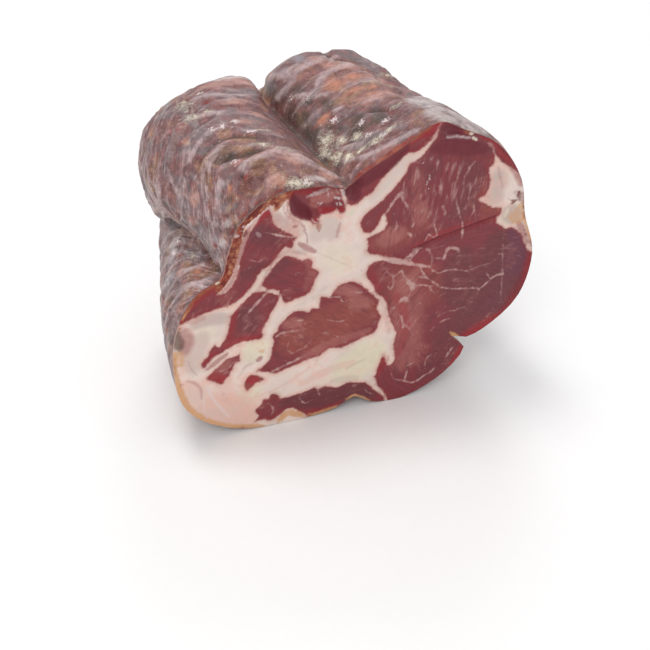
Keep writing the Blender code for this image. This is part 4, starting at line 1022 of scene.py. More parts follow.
def shape_casing(settings):
    """The finished casing: its rows of points, its pole, its flow, and the masks of its relief."""
    rows, turns, pole = casing_base()
    flow, travel = flow_of(rows, turns)
    points = rows.reshape(-1, 3)
    flat_flow = flow.reshape(-1, 3)
    strength = np.interp(np.degrees(turns), WRINKLE_TURNS, WRINKLE_STRENGTHS, period=360)
    strength = np.broadcast_to(strength, travel.shape).reshape(-1)

    ribs = np.zeros(len(points))
    for place in NET_RIBS:
        wander = RIB_WANDER * noise_at(flat_flow[:, :2], RIB_WANDER_SIZE, seed=place)
        ribs += np.exp(-(((flat_flow[:, 2] + wander - place) / RIB_HALF_WIDTH) ** 2))
    wander = WRINKLE_WANDER * noise_at(flat_flow, WRINKLE_WANDER_SIZE, seed=4.2)
    bent = flat_flow + np.column_stack([wander * 0, wander * 0, wander])
    broad = 1 - 2 * np.abs(noise_at(bent, WRINKLE_SIZE, seed=1.7))
    fine = 1 - 2 * np.abs(noise_at(bent, FINE_WRINKLE_SIZE, seed=8.3))
    wrinkles = WRINKLE_SHARE * broad + FINE_WRINKLE_SHARE * fine
    crest, trough, height = np.zeros((3, len(points)))
    for fold_height, half_width, line in FOLDS.values():
        shape = ridge(points, line, half_width, FOLD_STEP, reach=4)
        height += settings.fold_strength * fold_height * shape
        crest = np.maximum(crest, shape)
    for depth, half_width, line in FURROWS.values():
        shape = ridge(points, line, half_width, FOLD_STEP, reach=4)
        height -= settings.furrow_strength * depth * shape
        trough = np.maximum(trough, shape)
    bare = 1 - np.maximum(crest, trough)
    height += settings.rib_height / MM * ribs * bare * (RIB_LEAST + (1 - RIB_LEAST) * strength)
    shown = WRINKLE_LEAST + (1 - WRINKLE_LEAST) * bare
    height += settings.wrinkle_height / MM * strength * wrinkles * shown
    height += LUMP_HEIGHT * noise_at(points, LUMP_SIZE, seed=2.0)
    height *= smooth_step((travel.reshape(-1) - RELIEF_START) / RELIEF_RISE)
    for swell, half_width, line in SWELLS.values():
        height += swell * ridge(points, line, half_width, SWELL_STEP, reach=3)

    moved = points + outward(rows).reshape(-1, 3) * height[:, None]
    moved[: len(turns), 1] = RIM
    moved[:, 2] = np.maximum(moved[:, 2], 0)
    masks = {
        "crest": np.clip(crest + RIB_BLOOM_AND_SHEEN * ribs * bare, 0, 1),
        "fold": wrinkles * bare,
        "wrinkled": strength,
        "trough": trough,
    }
    return moved.reshape(rows.shape), pole, flat_flow, masks


def patch_masks(points):
    """For each kind of stain or growth, how strongly it shows at each point of the casing."""
    masks = {}
    for kind, patches in PATCHES.items():
        mask = np.zeros(len(points))
        for centre, around, along in patches:
            offset = (points - np.array(centre, dtype=float)) / [around, along, around]
            mask = np.maximum(mask, np.exp(-(offset**2).sum(axis=1) * PATCH_FALL))
        masks[kind] = mask
    return masks


def tint_masks(points):
    """For each tint, how strongly it shows at each point of the cut."""
    masks = {}
    for kind, bands in TINTS.items():
        mask = np.zeros(len(points))
        for strength, half_width, soft, line in bands:
            outside, _ = stroke(points, line, half_width, soft)
            mask = np.maximum(mask, strength * smooth_step((soft - outside) / soft))
        masks[kind] = mask
    return masks


def point_tree(samples):
    """Points (x, z) as a search tree."""
    tree = kdtree.KDTree(len(samples))
    for index, (x, z) in enumerate(samples):
        tree.insert((x, z, 0), index)
    tree.balance()
    return tree


def lay_out_cut(rim):
    """Points (x, z) and triangles of the flat cut, and where the rim's points are among them. Its points
    lie along every muscle's edge and every vein, and on a shaken lattice between."""
    lines = [curve_through(outline, CUT_STEP, closed=True) for outline in MUSCLES.values()]
    loops = [np.vstack([line, line[:1]]) for line in lines]
    loops += [curve_through(line, CUT_STEP) for _, _, line in VEINS]
    points, edges = list(rim), [(i, (i + 1) % len(rim)) for i in range(len(rim))]
    inner = np.array(CUT_MIDDLE) + (rim - CUT_MIDDLE) * CUT_SHARE
    for line in loops:
        kept = inside(line, inner)
        for i, (place, keep) in enumerate(zip(line, kept)):
            if keep:
                if i and kept[i - 1]:
                    edges.append((len(points) - 1, len(points)))
                points.append(place)
    random = np.random.default_rng(LATTICE_SEED)
    low, high = rim.min(axis=0), rim.max(axis=0)
    level = CUT_STEP * math.sqrt(3) / 2
    lattice = [
        (x + (row % 2) * CUT_STEP / 2, z)
        for row, z in enumerate(np.arange(low[1], high[1], level))
        for x in np.arange(low[0], high[0], CUT_STEP)
    ]
    lattice = np.array(lattice) + random.uniform(-CUT_SHAKE, CUT_SHAKE, (len(lattice), 2))
    lattice = lattice[inside(lattice, inner)]
    tree = point_tree(points)
    free = [tree.find((x, z, 0))[2] > KEEP_OFF for x, z in lattice]
    points += list(lattice[free])
    corners = [Vector((float(x), float(z))) for x, z in points]
    outline = [list(range(len(rim)))]
    found, _, triangles, origins, _, _ = geometry.delaunay_2d_cdt(corners, edges, outline, 1, SAME_POINT)
    order = {source: index for index, sources in enumerate(origins) for source in sources}
    rim_at = [order[i] for i in range(len(rim))]
    return np.array([tuple(p) for p in found]), triangles, rim_at


def read_lean(points):
    """How deep each point is in the lean, below 0 in the fat, and the muscle that it belongs to."""
    outlines = [curve_through(outline, FINE_STEP, closed=True) for outline in MUSCLES.values()]
    samples = np.vstack(outlines)
    owners = np.repeat(np.arange(len(outlines)), [len(o) for o in outlines])
    tree = point_tree(samples)
    found = [tree.find((x, z, 0)) for x, z in points]
    gap = np.array([f[2] for f in found])
    owner = owners[[f[1] for f in found]]
    in_lean = np.zeros(len(points), dtype=bool)
    for index, outline in enumerate(outlines):
        held = inside(points, outline)
        owner[held] = index
        in_lean |= held
    return np.where(in_lean, gap, -gap), owner


def read_veins(points):
    """How far each point is outside the nearest vein, below 0 inside it, and how strong that vein is.
    An end that lies in the lean thins and fades out, and one that joins the fat or a vein stays full."""
    tips = np.array([tip for _, _, line in VEINS for tip in (line[0], line[-1])])
    joined = read_lean(tips)[0] < VEIN_JOINS_WITHIN
    curves = [curve_through(line, FINE_STEP) for _, _, line in VEINS]
    for index, tip in enumerate(tips):
        others = np.vstack(curves[: index // 2] + curves[index // 2 + 1 :])
        joined[index] |= gaps_to(tip[None], others)[0] < VEIN_JOINS_WITHIN
    gap, strength = np.full(len(points), VEIN_REACH), np.zeros(len(points))
    for (vein_strength, half_width, line), joins in zip(VEINS, joined.reshape(-1, 2)):
        ends = np.where(joins, 1.0, VEIN_TIP)
        outside, share = stroke(points, line, half_width * VEIN_FINENESS, VEIN_REACH, ends)
        closer = outside < gap
        gap[closer], strength[closer] = outside[closer], (vein_strength * share**VEIN_FADE)[closer]
    return gap, strength


def grain_of(points, owner):
    """Coordinates in the lean: across its fibres, along them, and a step from muscle to muscle."""
    angles = np.radians(np.array([GRAIN[name] for name in MUSCLES], dtype=float))[owner]
    x, z = points[:, 0], points[:, 1]
    along = x * np.cos(angles) + z * np.sin(angles)
    across = z * np.cos(angles) - x * np.sin(angles)
    end_x, end_z = SWIRL_LINE_END
    swirl = (owner == list(MUSCLES).index("eye")) & (z < end_z - SWIRL_LINE_SLOPE * (end_x - x))
    from_centre = points - SWIRL_CENTRE
    across = np.where(swirl, np.hypot(*from_centre.T), across)
    along = np.where(swirl, SWIRL_RADIUS * np.arctan2(from_centre[:, 1], from_centre[:, 0]), along)
    return np.column_stack([across, along, owner * MUSCLE_STEP])


def hump(points, spot):
    """How high a flat-topped hump stands at each point."""
    (x, z), half_width, half_height, size = spot
    return size * np.exp(-(((points[:, 0] - x) / half_width) ** 2) - ((points[:, 1] - z) / half_height) ** 4)


def pocket_depth(points):
    """How far the torn pocket sinks, from its lower edge to the wall below the lip."""
    edge = curve_through(POCKET_EDGE, SEAM_STEP)
    torn = POCKET_TEAR * noise_at(points, POCKET_TEAR_SIZE, seed=6.6)
    gap = np.maximum(gap_near(points, edge, POCKET_SLOPE) + torn, 0)
    return POCKET_DEPTH * smooth_step(gap / POCKET_SLOPE) * inside(points, edge)


def cut_depth(points, rim_gap, lean, vein):
    """How far behind the plane of the cut each point lies."""
    ease = smooth_step((rim_gap - CUT_RELIEF_START) / CUT_RELIEF_RISE)
    unfilled = 1 - VEIN_FILLS * smooth_step(-vein / VEIN_FLANK)
    depth = LEAN_SINK * smooth_step(lean / SINK_REACH) * unfilled
    depth += WAVE_HEIGHT * (0.5 + 0.5 * noise_at(points, WAVE_LENGTH, seed=3.1))
    depth += UNEVEN_HEIGHT * noise_at(points, UNEVEN_SIZE, seed=7.7)
    seam_gap = gap_near(points, curve_through(SEAM, SEAM_STEP), SEAM_REACH)
    depth += SEAM_DEPTH * np.exp(-((seam_gap / SEAM_HALF_WIDTH) ** 2))
    depth += TURN_SLOPE * np.maximum(points[:, 0] - TURN_LINE, 0)
    ragged = 1 + FLAP_TEAR * noise_at(points, FLAP_TEAR_SIZE, seed=5.5)
    depth += pocket_depth(points) - hump(points, FLAP) * ragged + hump(points, CROWN_HOLLOW)
    return depth * ease


def build_mesh(settings):
    """The closed mesh of the cured meat, with every mask that its materials read."""
    rows, pole, flow, relief = shape_casing(settings)
    columns = rows.shape[1]
    casing = rows.reshape(-1, 3)
    rim = rows[0][:, [0, 2]]
    spokes = rim - CUT_MIDDLE
    radii = np.linalg.norm(spokes, axis=1, keepdims=True)
    edge = rim - spokes / radii * EDGE_INSET
    lip = rim - spokes / radii * LIP_INSET
    flat, triangles, lip_at = lay_out_cut(lip)
    lean, owner = read_lean(flat)
    vein, vein_strength = read_veins(flat)
    rim_gap = gaps_to(flat, np.vstack([rim, (rim + np.roll(rim, -1, axis=0)) / 2]))
    cut = np.column_stack([flat[:, 0], cut_depth(flat, rim_gap, lean, vein), flat[:, 1]])
    edge = np.column_stack([edge[:, 0], np.full(columns, EDGE_INSET), edge[:, 1]])

    points = np.vstack([casing, pole[None], edge, cut])
    pole_at, edge_at = len(casing), len(casing) + 1
    cut_at = edge_at + columns
    following = np.roll(np.arange(columns), -1)
    casing_faces = []
    for row in range(rows.shape[0] - 1):
        low, high = row * columns, (row + 1) * columns
        casing_faces += [(low + j, high + j, high + k, low + k) for j, k in enumerate(following)]
    last = (rows.shape[0] - 1) * columns
    casing_faces += [(last + j, pole_at, last + k) for j, k in enumerate(following)]
    cut_faces = [(j, k, edge_at + k, edge_at + j) for j, k in enumerate(following)]
    lips = [cut_at + i for i in lip_at]
    cut_faces += [(edge_at + j, edge_at + k, lips[k], lips[j]) for j, k in enumerate(following)]
    cut_faces += [tuple(cut_at + i for i in triangle) for triangle in triangles]

    mesh = bpy.data.meshes.new("coppa_meat")
    mesh.from_pydata(((points + ORIGIN) * MM).tolist(), [], casing_faces + cut_faces)
    slots = np.zeros(len(mesh.polygons), dtype=np.int32)
    slots[len(casing_faces) :] = 1
    mesh.polygons.foreach_set("material_index", slots)

    def fill(on_casing, on_pole, on_cut):
        """One value for each point. The narrow edge takes the values of the lip beside it."""
        return np.concatenate([on_casing, [on_pole], np.asarray(on_cut)[lip_at], on_cut])

    bare = np.zeros(len(casing))
    none = np.zeros(len(flat))
    numbers = {
        "lean": fill(bare, 0, lean),
        "vein": fill(bare + VEIN_REACH, VEIN_REACH, vein),
        "vein_strength": fill(bare, 0, vein_strength),
        "rim_gap": fill(bare, 0, rim_gap),
    }
    numbers |= {kind: fill(bare, 0, mask) for kind, mask in tint_masks(flat).items()}
    numbers |= {kind: fill(mask, 0, none) for kind, mask in relief.items()}
    numbers |= {kind: fill(mask, 0, none) for kind, mask in patch_masks(casing).items()}
    for name, values in numbers.items():
        mesh.attributes.new(name, "FLOAT", "POINT").data.foreach_set("value", values.astype(np.float32))
    grain = grain_of(flat, owner)
    vectors = {
        "flow": np.vstack([flow, flow[-1:], np.zeros((columns + len(flat), 3))]),
        "grain": np.vstack([np.zeros((len(casing) + 1, 3)), grain[lip_at], grain]),
    }
    for name, values in vectors.items():
        layer = mesh.attributes.new(name, "FLOAT_VECTOR", "POINT")
        layer.data.foreach_set("vector", values.astype(np.float32).ravel())
    finish_mesh(mesh)
    return mesh


def finish_mesh(mesh):
    """Turns every face outwards, makes triangles of them all and shades the mesh smooth."""
    work = bmesh.new()
    work.from_mesh(mesh)
    bmesh.ops.recalc_face_normals(work, faces=work.faces)
    bmesh.ops.triangulate(work, faces=work.faces, quad_method="SHORT_EDGE")
    work.to_mesh(mesh)
    work.free()
    mesh.shade_smooth()
    mesh.update()


def add(tree, kind, inputs=None, **settings):
    """Adds a node with its settings. Each input is given a value, or is linked to another's socket."""
    node = tree.nodes.new(kind)
    for name, value in settings.items():
        setattr(node, name, value)
    for name, value in (inputs or {}).items():
        if isinstance(value, bpy.types.NodeSocket):
            tree.links.new(value, node.inputs[name])
        else:
            node.inputs[name].default_value = value
    return node


def per(millimetres):
    """The scale that gives a pattern on Object coordinates lumps of this size."""
    return 1 / (millimetres * MM)


def new_material(name):
    """A material with nothing but its shader and its output, and the shader's node tree."""
    material = bpy.data.materials.new(name)
    material.use_nodes = True
    tree = material.node_tree
    tree.nodes.clear()
    shader = add(tree, "ShaderNodeBsdfPrincipled")
    add(tree, "ShaderNodeOutputMaterial", {"Surface": shader.outputs[0]})
    return material, tree, shader


# The inputs of a noise texture, in the order in which the materials give them
NOISE = ("Vector", "Scale", "Detail", "Roughness", "Distortion")


def stain(tree, base, mask, pattern, colour, edges, amount, most=1.0):
    """Lays a colour over the base where a painted mask, or a pattern from 0 to 1, lies past the edges.
    A second pattern, weighed by the amount, breaks the boundary up."""
    if isinstance(mask, str):
        mask = add(tree, "ShaderNodeAttribute", attribute_name=mask).outputs["Fac"]
    broken = add(tree, "ShaderNodeMath", {0: pattern, 1: amount, 2: mask}, operation="MULTIPLY_ADD")
    start, end = (edge + amount / 2 for edge in edges)
    limits = {"Value": broken.outputs[0], "From Min": start, "From Max": end, "To Max": most}
    cover = add(tree, "ShaderNodeMapRange", limits, interpolation_type="SMOOTHSTEP")
    return add(tree, "ShaderNodeMix", {0: cover.outputs[0], 6: base, 7: colour}, data_type="RGBA").outputs[2]


def casing_material(looks):
    """Dried pork casing: natural gut, shrunk on to the meat as it cured, so thin that the meat
    browns it from below, with a dull shine on its wrinkles and a whitish bloom on their crests.
    Painted sheen pales its crests, its wrinkles and some bluish and pale patches; painted shade
    darkens the wrinkles' valleys and the furrows; painted glints fleck it."""
    material, tree, shader = new_material("dried pork casing")
    place = add(tree, "ShaderNodeTexCoord").outputs["Object"]
    flow = add(tree, "ShaderNodeAttribute", attribute_name="flow").outputs["Vector"]
    sizes = ((8, 8, 3.6), (3.6, 3.6, 1.3), (11, 11, 3.2))
    wide, thin, strand = (
        add(tree, "ShaderNodeVectorMath", {0: flow, 1: [1 / s for s in size]}, operation="MULTIPLY")
        for size in sizes
    )
    bands, threads, strands, mottle, cloud, speckle, grit = (
        add(tree, "ShaderNodeTexNoise", dict(zip(NOISE, values))).outputs["Fac"]
        for values in (
            (wide.outputs[0], 1.0, 5.0, 0.6, 0.8),
            (thin.outputs[0], 1.0, 4.0, 0.62, 0.6),
            (strand.outputs[0], 1.0, 3.0, 0.5, 0.4),
            (place, per(4.5), 5.0, 0.6, 0.6),
            (place, per(13), 3.0, 0.55, 0.8),
            (place, per(1.4), 4.0, 0.68),
            (place, per(0.6), 2.0, 0.7),
        )
    )
    fold, wrinkled, mould = (
        add(tree, "ShaderNodeAttribute", attribute_name=name).outputs["Fac"]
        for name in ("fold", "wrinkled", "mould")
    )
    off_line = add(tree, "ShaderNodeMath", {0: strands, 1: 0.5}, operation="SUBTRACT").outputs[0]
    off_line = add(tree, "ShaderNodeMath", {0: off_line}, operation="ABSOLUTE").outputs[0]
    lines = add(
        tree, "ShaderNodeMapRange", {"Value": off_line, "From Max": 0.035, "To Min": 1.0, "To Max": 0.0}
    ).outputs[0]
    wrinkle = add(tree, "ShaderNodeMath", {0: fold, 1: wrinkled}, operation="MULTIPLY").outputs[0]

    base = looks.casing_plum
    for layer in (
        (mottle, bands, looks.casing_rose, (0.45, 0.6), 0.4, 0.75),
        (cloud, bands, looks.casing_slate, (0.5, 0.62), 0.3, 0.65),
        (cloud, mottle, looks.casing_gold, (0.47, 0.36), -0.3, 0.55),
        ("salmon", bands, looks.casing_salmon, (0.1, 1.0), 1.6, 0.85),
        # Bluish grey, partly painted sheen
        ("steel", bands, looks.steel_and_painted_sheen, (0.1, 1.0), 1.2, 0.8),
        ("gold", speckle, looks.casing_gold, (0.15, 1.1), 2.0, 0.8),
        ("amber", bands, looks.casing_amber, (0.1, 1.0), 1.6, 0.85),
        ("olive", speckle, looks.olive_mould_and_painted_shade, (0.1, 0.9), 1.6, 0.85),
        # Dark mould and painted shade in the named furrows
        ("trough", speckle, looks.olive_mould_and_painted_shade, (0.3, 0.95), 0.8, 0.75),
        ("blood", mottle, looks.blood_stains_and_painted_shade, (0.1, 1.0), 1.8, 0.85),
        # Painted shade: dark red in the valleys of the wrinkles
        (wrinkle, bands, looks.blood_stains_and_painted_shade, (0.0, -0.7), 0.8, 0.75),
        # Pale casing, partly painted highlight
        ("pale", threads, looks.pale_and_painted_highlight, (0.15, 0.9), 0.8, 0.8),
        # Painted sheen: lilac on the crests of the wrinkles
        (wrinkle, threads, looks.lilac_and_painted_sheen, (0.45, 1.0), 0.7, 0.6),
        # Bloom, and painted sheen, on the crests of the folds and ribs
        ("crest", threads, looks.bloom_and_painted_sheen, (0.25, 0.95), 1.0, 0.7),
        # Fine pale lines where the casing is wrinkled, partly painted sheen
        (wrinkled, lines, looks.lilac_and_painted_sheen, (0.55, 1.4), 1.0, 0.5),
        ("scarlet", speckle, looks.casing_scarlet, (0.2, 1.0), 2.0, 0.9),
        ("brown", speckle, looks.rind_scarlet, (0.45, 0.8), 0.9, 0.85),
        ("brown", mottle, looks.rind_amber, (0.8, 1.3), 3.0, 0.85),
        ("brown", speckle, looks.rind_rust, (0.9, 1.5), 3.0, 0.85),
        # Painted glints: small whitish flecks scattered over the casing
        (speckle, mottle, looks.painted_glint_white, (0.67, 0.8), 0.4, 0.5),
        ("mould", speckle, looks.mould_grey, (0.1, 0.8), 2.4, 0.6),
        ("mould", speckle, looks.mould_cream, (0.65, 1.3), 3.4, 0.75),
        ("mould", grit, looks.mould_cream, (0.65, 1.1), 2.6, 0.75),
        # Painted glints where the shine patches lie
        ("shine", grit, looks.painted_glint_white, (0.45, 0.65), 2.4, 0.9),
    ):
        base = stain(tree, base, *layer)
    grain = add(tree, "ShaderNodeMath", {0: threads, 1: 0.8, 2: speckle}, operation="MULTIPLY_ADD").outputs[0]
    shade = add(
        tree, "ShaderNodeMapRange",
        {"Value": grain, "From Min": 0.64, "From Max": 1.16, "To Min": 0.52, "To Max": 1.56},
    ).outputs[0]
    liveliness = add(
        tree, "ShaderNodeMapRange", {"Value": wrinkled, "From Min": 0.3, "To Min": 0.65}
    ).outputs[0]
    shade = add(tree, "ShaderNodeMath", {0: shade, 1: 1.0}, operation="SUBTRACT").outputs[0]
    shade = add(
        tree, "ShaderNodeMath", {0: shade, 1: liveliness, 2: 1.0}, operation="MULTIPLY_ADD"
    ).outputs[0]
    base = add(tree, "ShaderNodeVectorMath", {0: base, "Scale": shade}, operation="SCALE").outputs[0]
    tree.links.new(base, shader.inputs["Base Color"])

    rough = add(
        tree, "ShaderNodeMapRange", {"Value": mould, "From Max": 0.7, "To Min": 0.32, "To Max": 0.8}
    ).outputs[0]
    tree.links.new(rough, shader.inputs["Roughness"])
    shader.inputs["IOR"].default_value = 1.42
    height = add(tree, "ShaderNodeMath", {0: grit, 1: 0.2, 2: grain}, operation="MULTIPLY_ADD").outputs[0]
    bump = add(tree, "ShaderNodeBump", {"Height": height, "Strength": 0.8, "Distance": 0.7 * MM})
    tree.links.new(bump.outputs[0], shader.inputs["Normal"])
    return material


# How far in all the edges of the lean and of its veins stray from their drawn lines, in millimetres
EDGE_STRAY = 1.3


def meat_material(looks):
    """Cut cured pork: dry, firm lean, dark red where it has dried most and finely grained along its
    fibres, and opaque fat that picks up pink beside the lean. A blade left it smooth, with a low shine.
    Painted glints mark its wet ridges and thin edges, a painted glow its thin lower right edge, and a
    painted shadow line lies under the crown's flap."""
    material, tree, shader = new_material("cut cured pork")
    place = add(tree, "ShaderNodeTexCoord").outputs["Object"]
    grain = add(tree, "ShaderNodeAttribute", attribute_name="grain").outputs["Vector"]
    sizes = ((0.6, 4.5, 1), (1.7, 8, 1), (0.9, 3, 1))
    fine, wide, short = (
        add(tree, "ShaderNodeVectorMath", {0: grain, 1: [1 / s for s in size]}, operation="MULTIPLY")
        for size in sizes
    )
    fibres, marbling, flecks, cloud, rag = (
        add(tree, "ShaderNodeTexNoise", dict(zip(NOISE, values))).outputs["Fac"]
        for values in (
            (fine.outputs[0], 1.0, 4.0, 0.6),
            (wide.outputs[0], 1.0, 2.0, 0.5, 0.5),
            (short.outputs[0], 1.0, 2.0, 0.5, 0.6),
            (place, per(8), 5.0, 0.6),
            (place, per(1.6), 4.0, 0.65),
        )
    )
    lean, vein, strength, wet = (
        add(tree, "ShaderNodeAttribute", attribute_name=name).outputs["Fac"]
        for name in ("lean", "vein", "vein_strength", "wet")
    )
    ragged = add(tree, "ShaderNodeMath", {0: rag, 1: 0.5}, operation="SUBTRACT").outputs[0]
    depth, vein_edge = (
        add(tree, "ShaderNodeMath", {0: ragged, 1: EDGE_STRAY, 2: reach}, operation="MULTIPLY_ADD").outputs[0]
        for reach in (lean, vein)
    )

    red = looks.lean_red
    for layer in (
        ("umber", cloud, looks.lean_umber, (0.1, 0.9), 0.8, 0.9),
        ("dusk", cloud, looks.lean_dusk, (0.1, 0.95), 0.6),
        ("violet", cloud, looks.lean_violet, (0.1, 0.95), 0.5, 0.8),
        ("rosy", cloud, looks.lean_rosy, (0.1, 1.0), 0.9, 0.85),
        (cloud, rag, looks.lean_rosy, (0.52, 0.72), 0.3, 0.35),
        (depth, cloud, looks.crimson_lean_and_painted_glow, (1.4, 0.1), 1.0, 0.35),
        (marbling, cloud, looks.lean_dusk, (0.45, 0.28), 0.3, 0.5),
        ("marbled", marbling, looks.vein_pink, (1.05, 1.4), 1.6, 0.5),
        (flecks, cloud, looks.vein_pink, (0.6, 0.8), 0.7, 0.28),
        # Bright lean, and a painted glow along the thin lower right edge
        ("crimson", cloud, looks.crimson_lean_and_painted_glow, (0.05, 1.0), 0.4, 0.95),
    ):
        red = stain(tree, red, *layer)
    lighter = add(
        tree, "ShaderNodeMapRange",
        {"Value": fibres, "From Min": 0.25, "From Max": 0.75, "To Min": 0.8, "To Max": 1.22},
    ).outputs[0]
    red = add(tree, "ShaderNodeVectorMath", {0: red, "Scale": lighter}, operation="SCALE").outputs[0]

    fat = looks.fat_cream
    for layer in (
        ("butter", cloud, looks.fat_butter, (0.1, 1.0), 0.5),
        ("pink", cloud, looks.fat_pink, (0.1, 1.0), 0.6),
        ("ashen", cloud, looks.fat_ash, (0.1, 1.0), 0.8),
        (depth, cloud, looks.fat_pink, (-2.0, -0.2), 0.8, 0.6),
        (depth, rag, looks.fat_mauve, (-0.8, 0.2), 0.4, 0.45),
        (cloud, rag, looks.fat_pink, (0.5, 0.7), 0.3, 0.5),
        ("mauve", rag, looks.fat_mauve, (0.1, 0.95), 0.4, 0.9),
    ):
        fat = stain(tree, fat, *layer)
    patchy = add(
        tree, "ShaderNodeMapRange",
        {"Value": cloud, "From Min": 0.3, "From Max": 0.7, "To Min": 0.9, "To Max": 1.07},
    ).outputs[0]
    fat = add(tree, "ShaderNodeVectorMath", {0: fat, "Scale": patchy}, operation="SCALE").outputs[0]

    in_lean = add(
        tree, "ShaderNodeMapRange", {"Value": depth, "From Min": -0.4, "From Max": 0.35},
        interpolation_type="SMOOTHSTEP",
    ).outputs[0]
    face = add(tree, "ShaderNodeMix", {0: in_lean, 6: fat, 7: red}, data_type="RGBA").outputs[2]
    in_vein = add(
        tree, "ShaderNodeMapRange", {"Value": vein_edge, "From Min": 0.34, "From Max": -0.2},
        interpolation_type="SMOOTHSTEP",
    ).outputs[0]
    uneven = add(
        tree, "ShaderNodeMapRange",
        {"Value": rag, "From Min": 0.62, "From Max": 0.4, "To Min": 0.45, "To Max": 1.0},
    ).outputs[0]
    paled = add(tree, "ShaderNodeMath", {0: strength, 1: uneven}, operation="MULTIPLY").outputs[0]
    vein_cover = add(tree, "ShaderNodeMath", {0: in_vein, 1: paled}, operation="MULTIPLY").outputs[0]
    veined = add(tree, "ShaderNodeMix", {0: vein_cover, 6: face, 7: looks.vein_pink}, data_type="RGBA")
    face = veined.outputs[2]
    for layer in (
        # Dark lean, and the painted shadow line under the crown's flap
        ("maroon", rag, looks.maroon_lean_and_painted_shadow, (0.1, 0.9), 0.5, 0.95),
        ("rim_gap", rag, looks.casing_edge, (0.5, 0.1), 0.5, 0.6),
        ("tan", rag, looks.rind_tan, (0.15, 0.85), 0.8, 0.85),
        ("rind", rag, looks.rind_amber, (0.15, 0.8), 1.0, 0.95),
        ("rind", cloud, looks.rind_scarlet, (0.8, 1.3), 5.0, 0.75),
        ("rind", rag, looks.rind_rust, (0.8, 1.35), 4.0, 0.85),
        ("rind", rag, looks.rind_tan, (1.15, 1.7), -3.4, 0.7),
        ("rust", rag, looks.rind_rust, (0.1, 0.85), 1.0, 0.95),
        ("scarlet", rag, looks.rind_scarlet, (0.1, 0.85), 0.8, 0.95),
        ("grey", rag, looks.rind_smudge, (0.1, 1.0), 0.6, 0.8),
        ("cream", rag, looks.mould_cream, (0.3, 0.8), 1.0, 0.9),
        # Painted highlights along the glint bands
        ("glint", rag, looks.painted_glint_white, (0.1, 0.9), 0.6, 0.8),
    ):
        face = stain(tree, face, *layer)
    tree.links.new(face, shader.inputs["Base Color"])

    rough = add(tree, "ShaderNodeMapRange", {"Value": wet, "To Min": 0.46, "To Max": 0.14}).outputs[0]
    tree.links.new(rough, shader.inputs["Roughness"])
    shader.inputs["IOR"].default_value = 1.37
    shader.inputs["Subsurface Weight"].default_value = 0.1
    shader.inputs["Subsurface Radius"].default_value = (1.0, 0.4, 0.25)
    shader.inputs["Subsurface Scale"].default_value = 1.0 * MM
    stringy = add(tree, "ShaderNodeMath", {0: fibres, 1: in_lean}, operation="MULTIPLY").outputs[0]
    surface = add(tree, "ShaderNodeMath", {0: rag, 1: 0.6, 2: stringy}, operation="MULTIPLY_ADD").outputs[0]
    bump = add(tree, "ShaderNodeBump", {"Height": surface, "Strength": 0.4, "Distance": 0.4 * MM})
    tree.links.new(bump.outputs[0], shader.inputs["Normal"])
    return material


def mould_material(looks):
    """Dried mould: the bloom that grows on a cellar-cured casing, chalky and quite without shine."""
    material, tree, shader = new_material("dried mould")
    place = add(tree, "ShaderNodeTexCoord").outputs["Object"]
    cloud = add(tree, "ShaderNodeTexNoise", {"Vector": place, "Scale": per(2.5), "Detail": 3.0})
    colours = {0: cloud.outputs["Fac"], 6: looks.mould_cream, 7: looks.mould_grey}
    mixed = add(tree, "ShaderNodeMix", colours, data_type="RGBA")
    tree.links.new(mixed.outputs[2], shader.inputs["Base Color"])
    shader.inputs["Roughness"].default_value = 0.92
    return material


def floor_material(looks):
    """Matt laminate: a pressed sheet with a fine even tooth, pale and slightly warm."""
    material, tree, shader = new_material("matt laminate")
    place = add(tree, "ShaderNodeTexCoord").outputs["Object"]
    tooth = add(tree, "ShaderNodeTexNoise", {"Vector": place, "Scale": per(3), "Detail": 2.0}).outputs["Fac"]
    shade = add(tree, "ShaderNodeMapRange", {"Value": tooth, "To Min": 0.98, "To Max": 1.0}).outputs[0]
    colour = tuple(looks.floor_colour)[:3]
    tinted = add(tree, "ShaderNodeVectorMath", {0: colour, "Scale": shade}, operation="SCALE")
    tree.links.new(tinted.outputs[0], shader.inputs["Base Color"])
    shader.inputs["Roughness"].default_value = 0.7
    return material


# How unevenly the crumbs gather, the least and the most that a crumb is stretched by, and how many of
# them are tried on a square metre
CLUMPING = 1.5
CRUMB_LEAST = (0.4, 0.4, 0.3)
CRUMB_MOST = (1.4, 1.1, 0.8)
CRUMB_DENSITY = 4.5e6


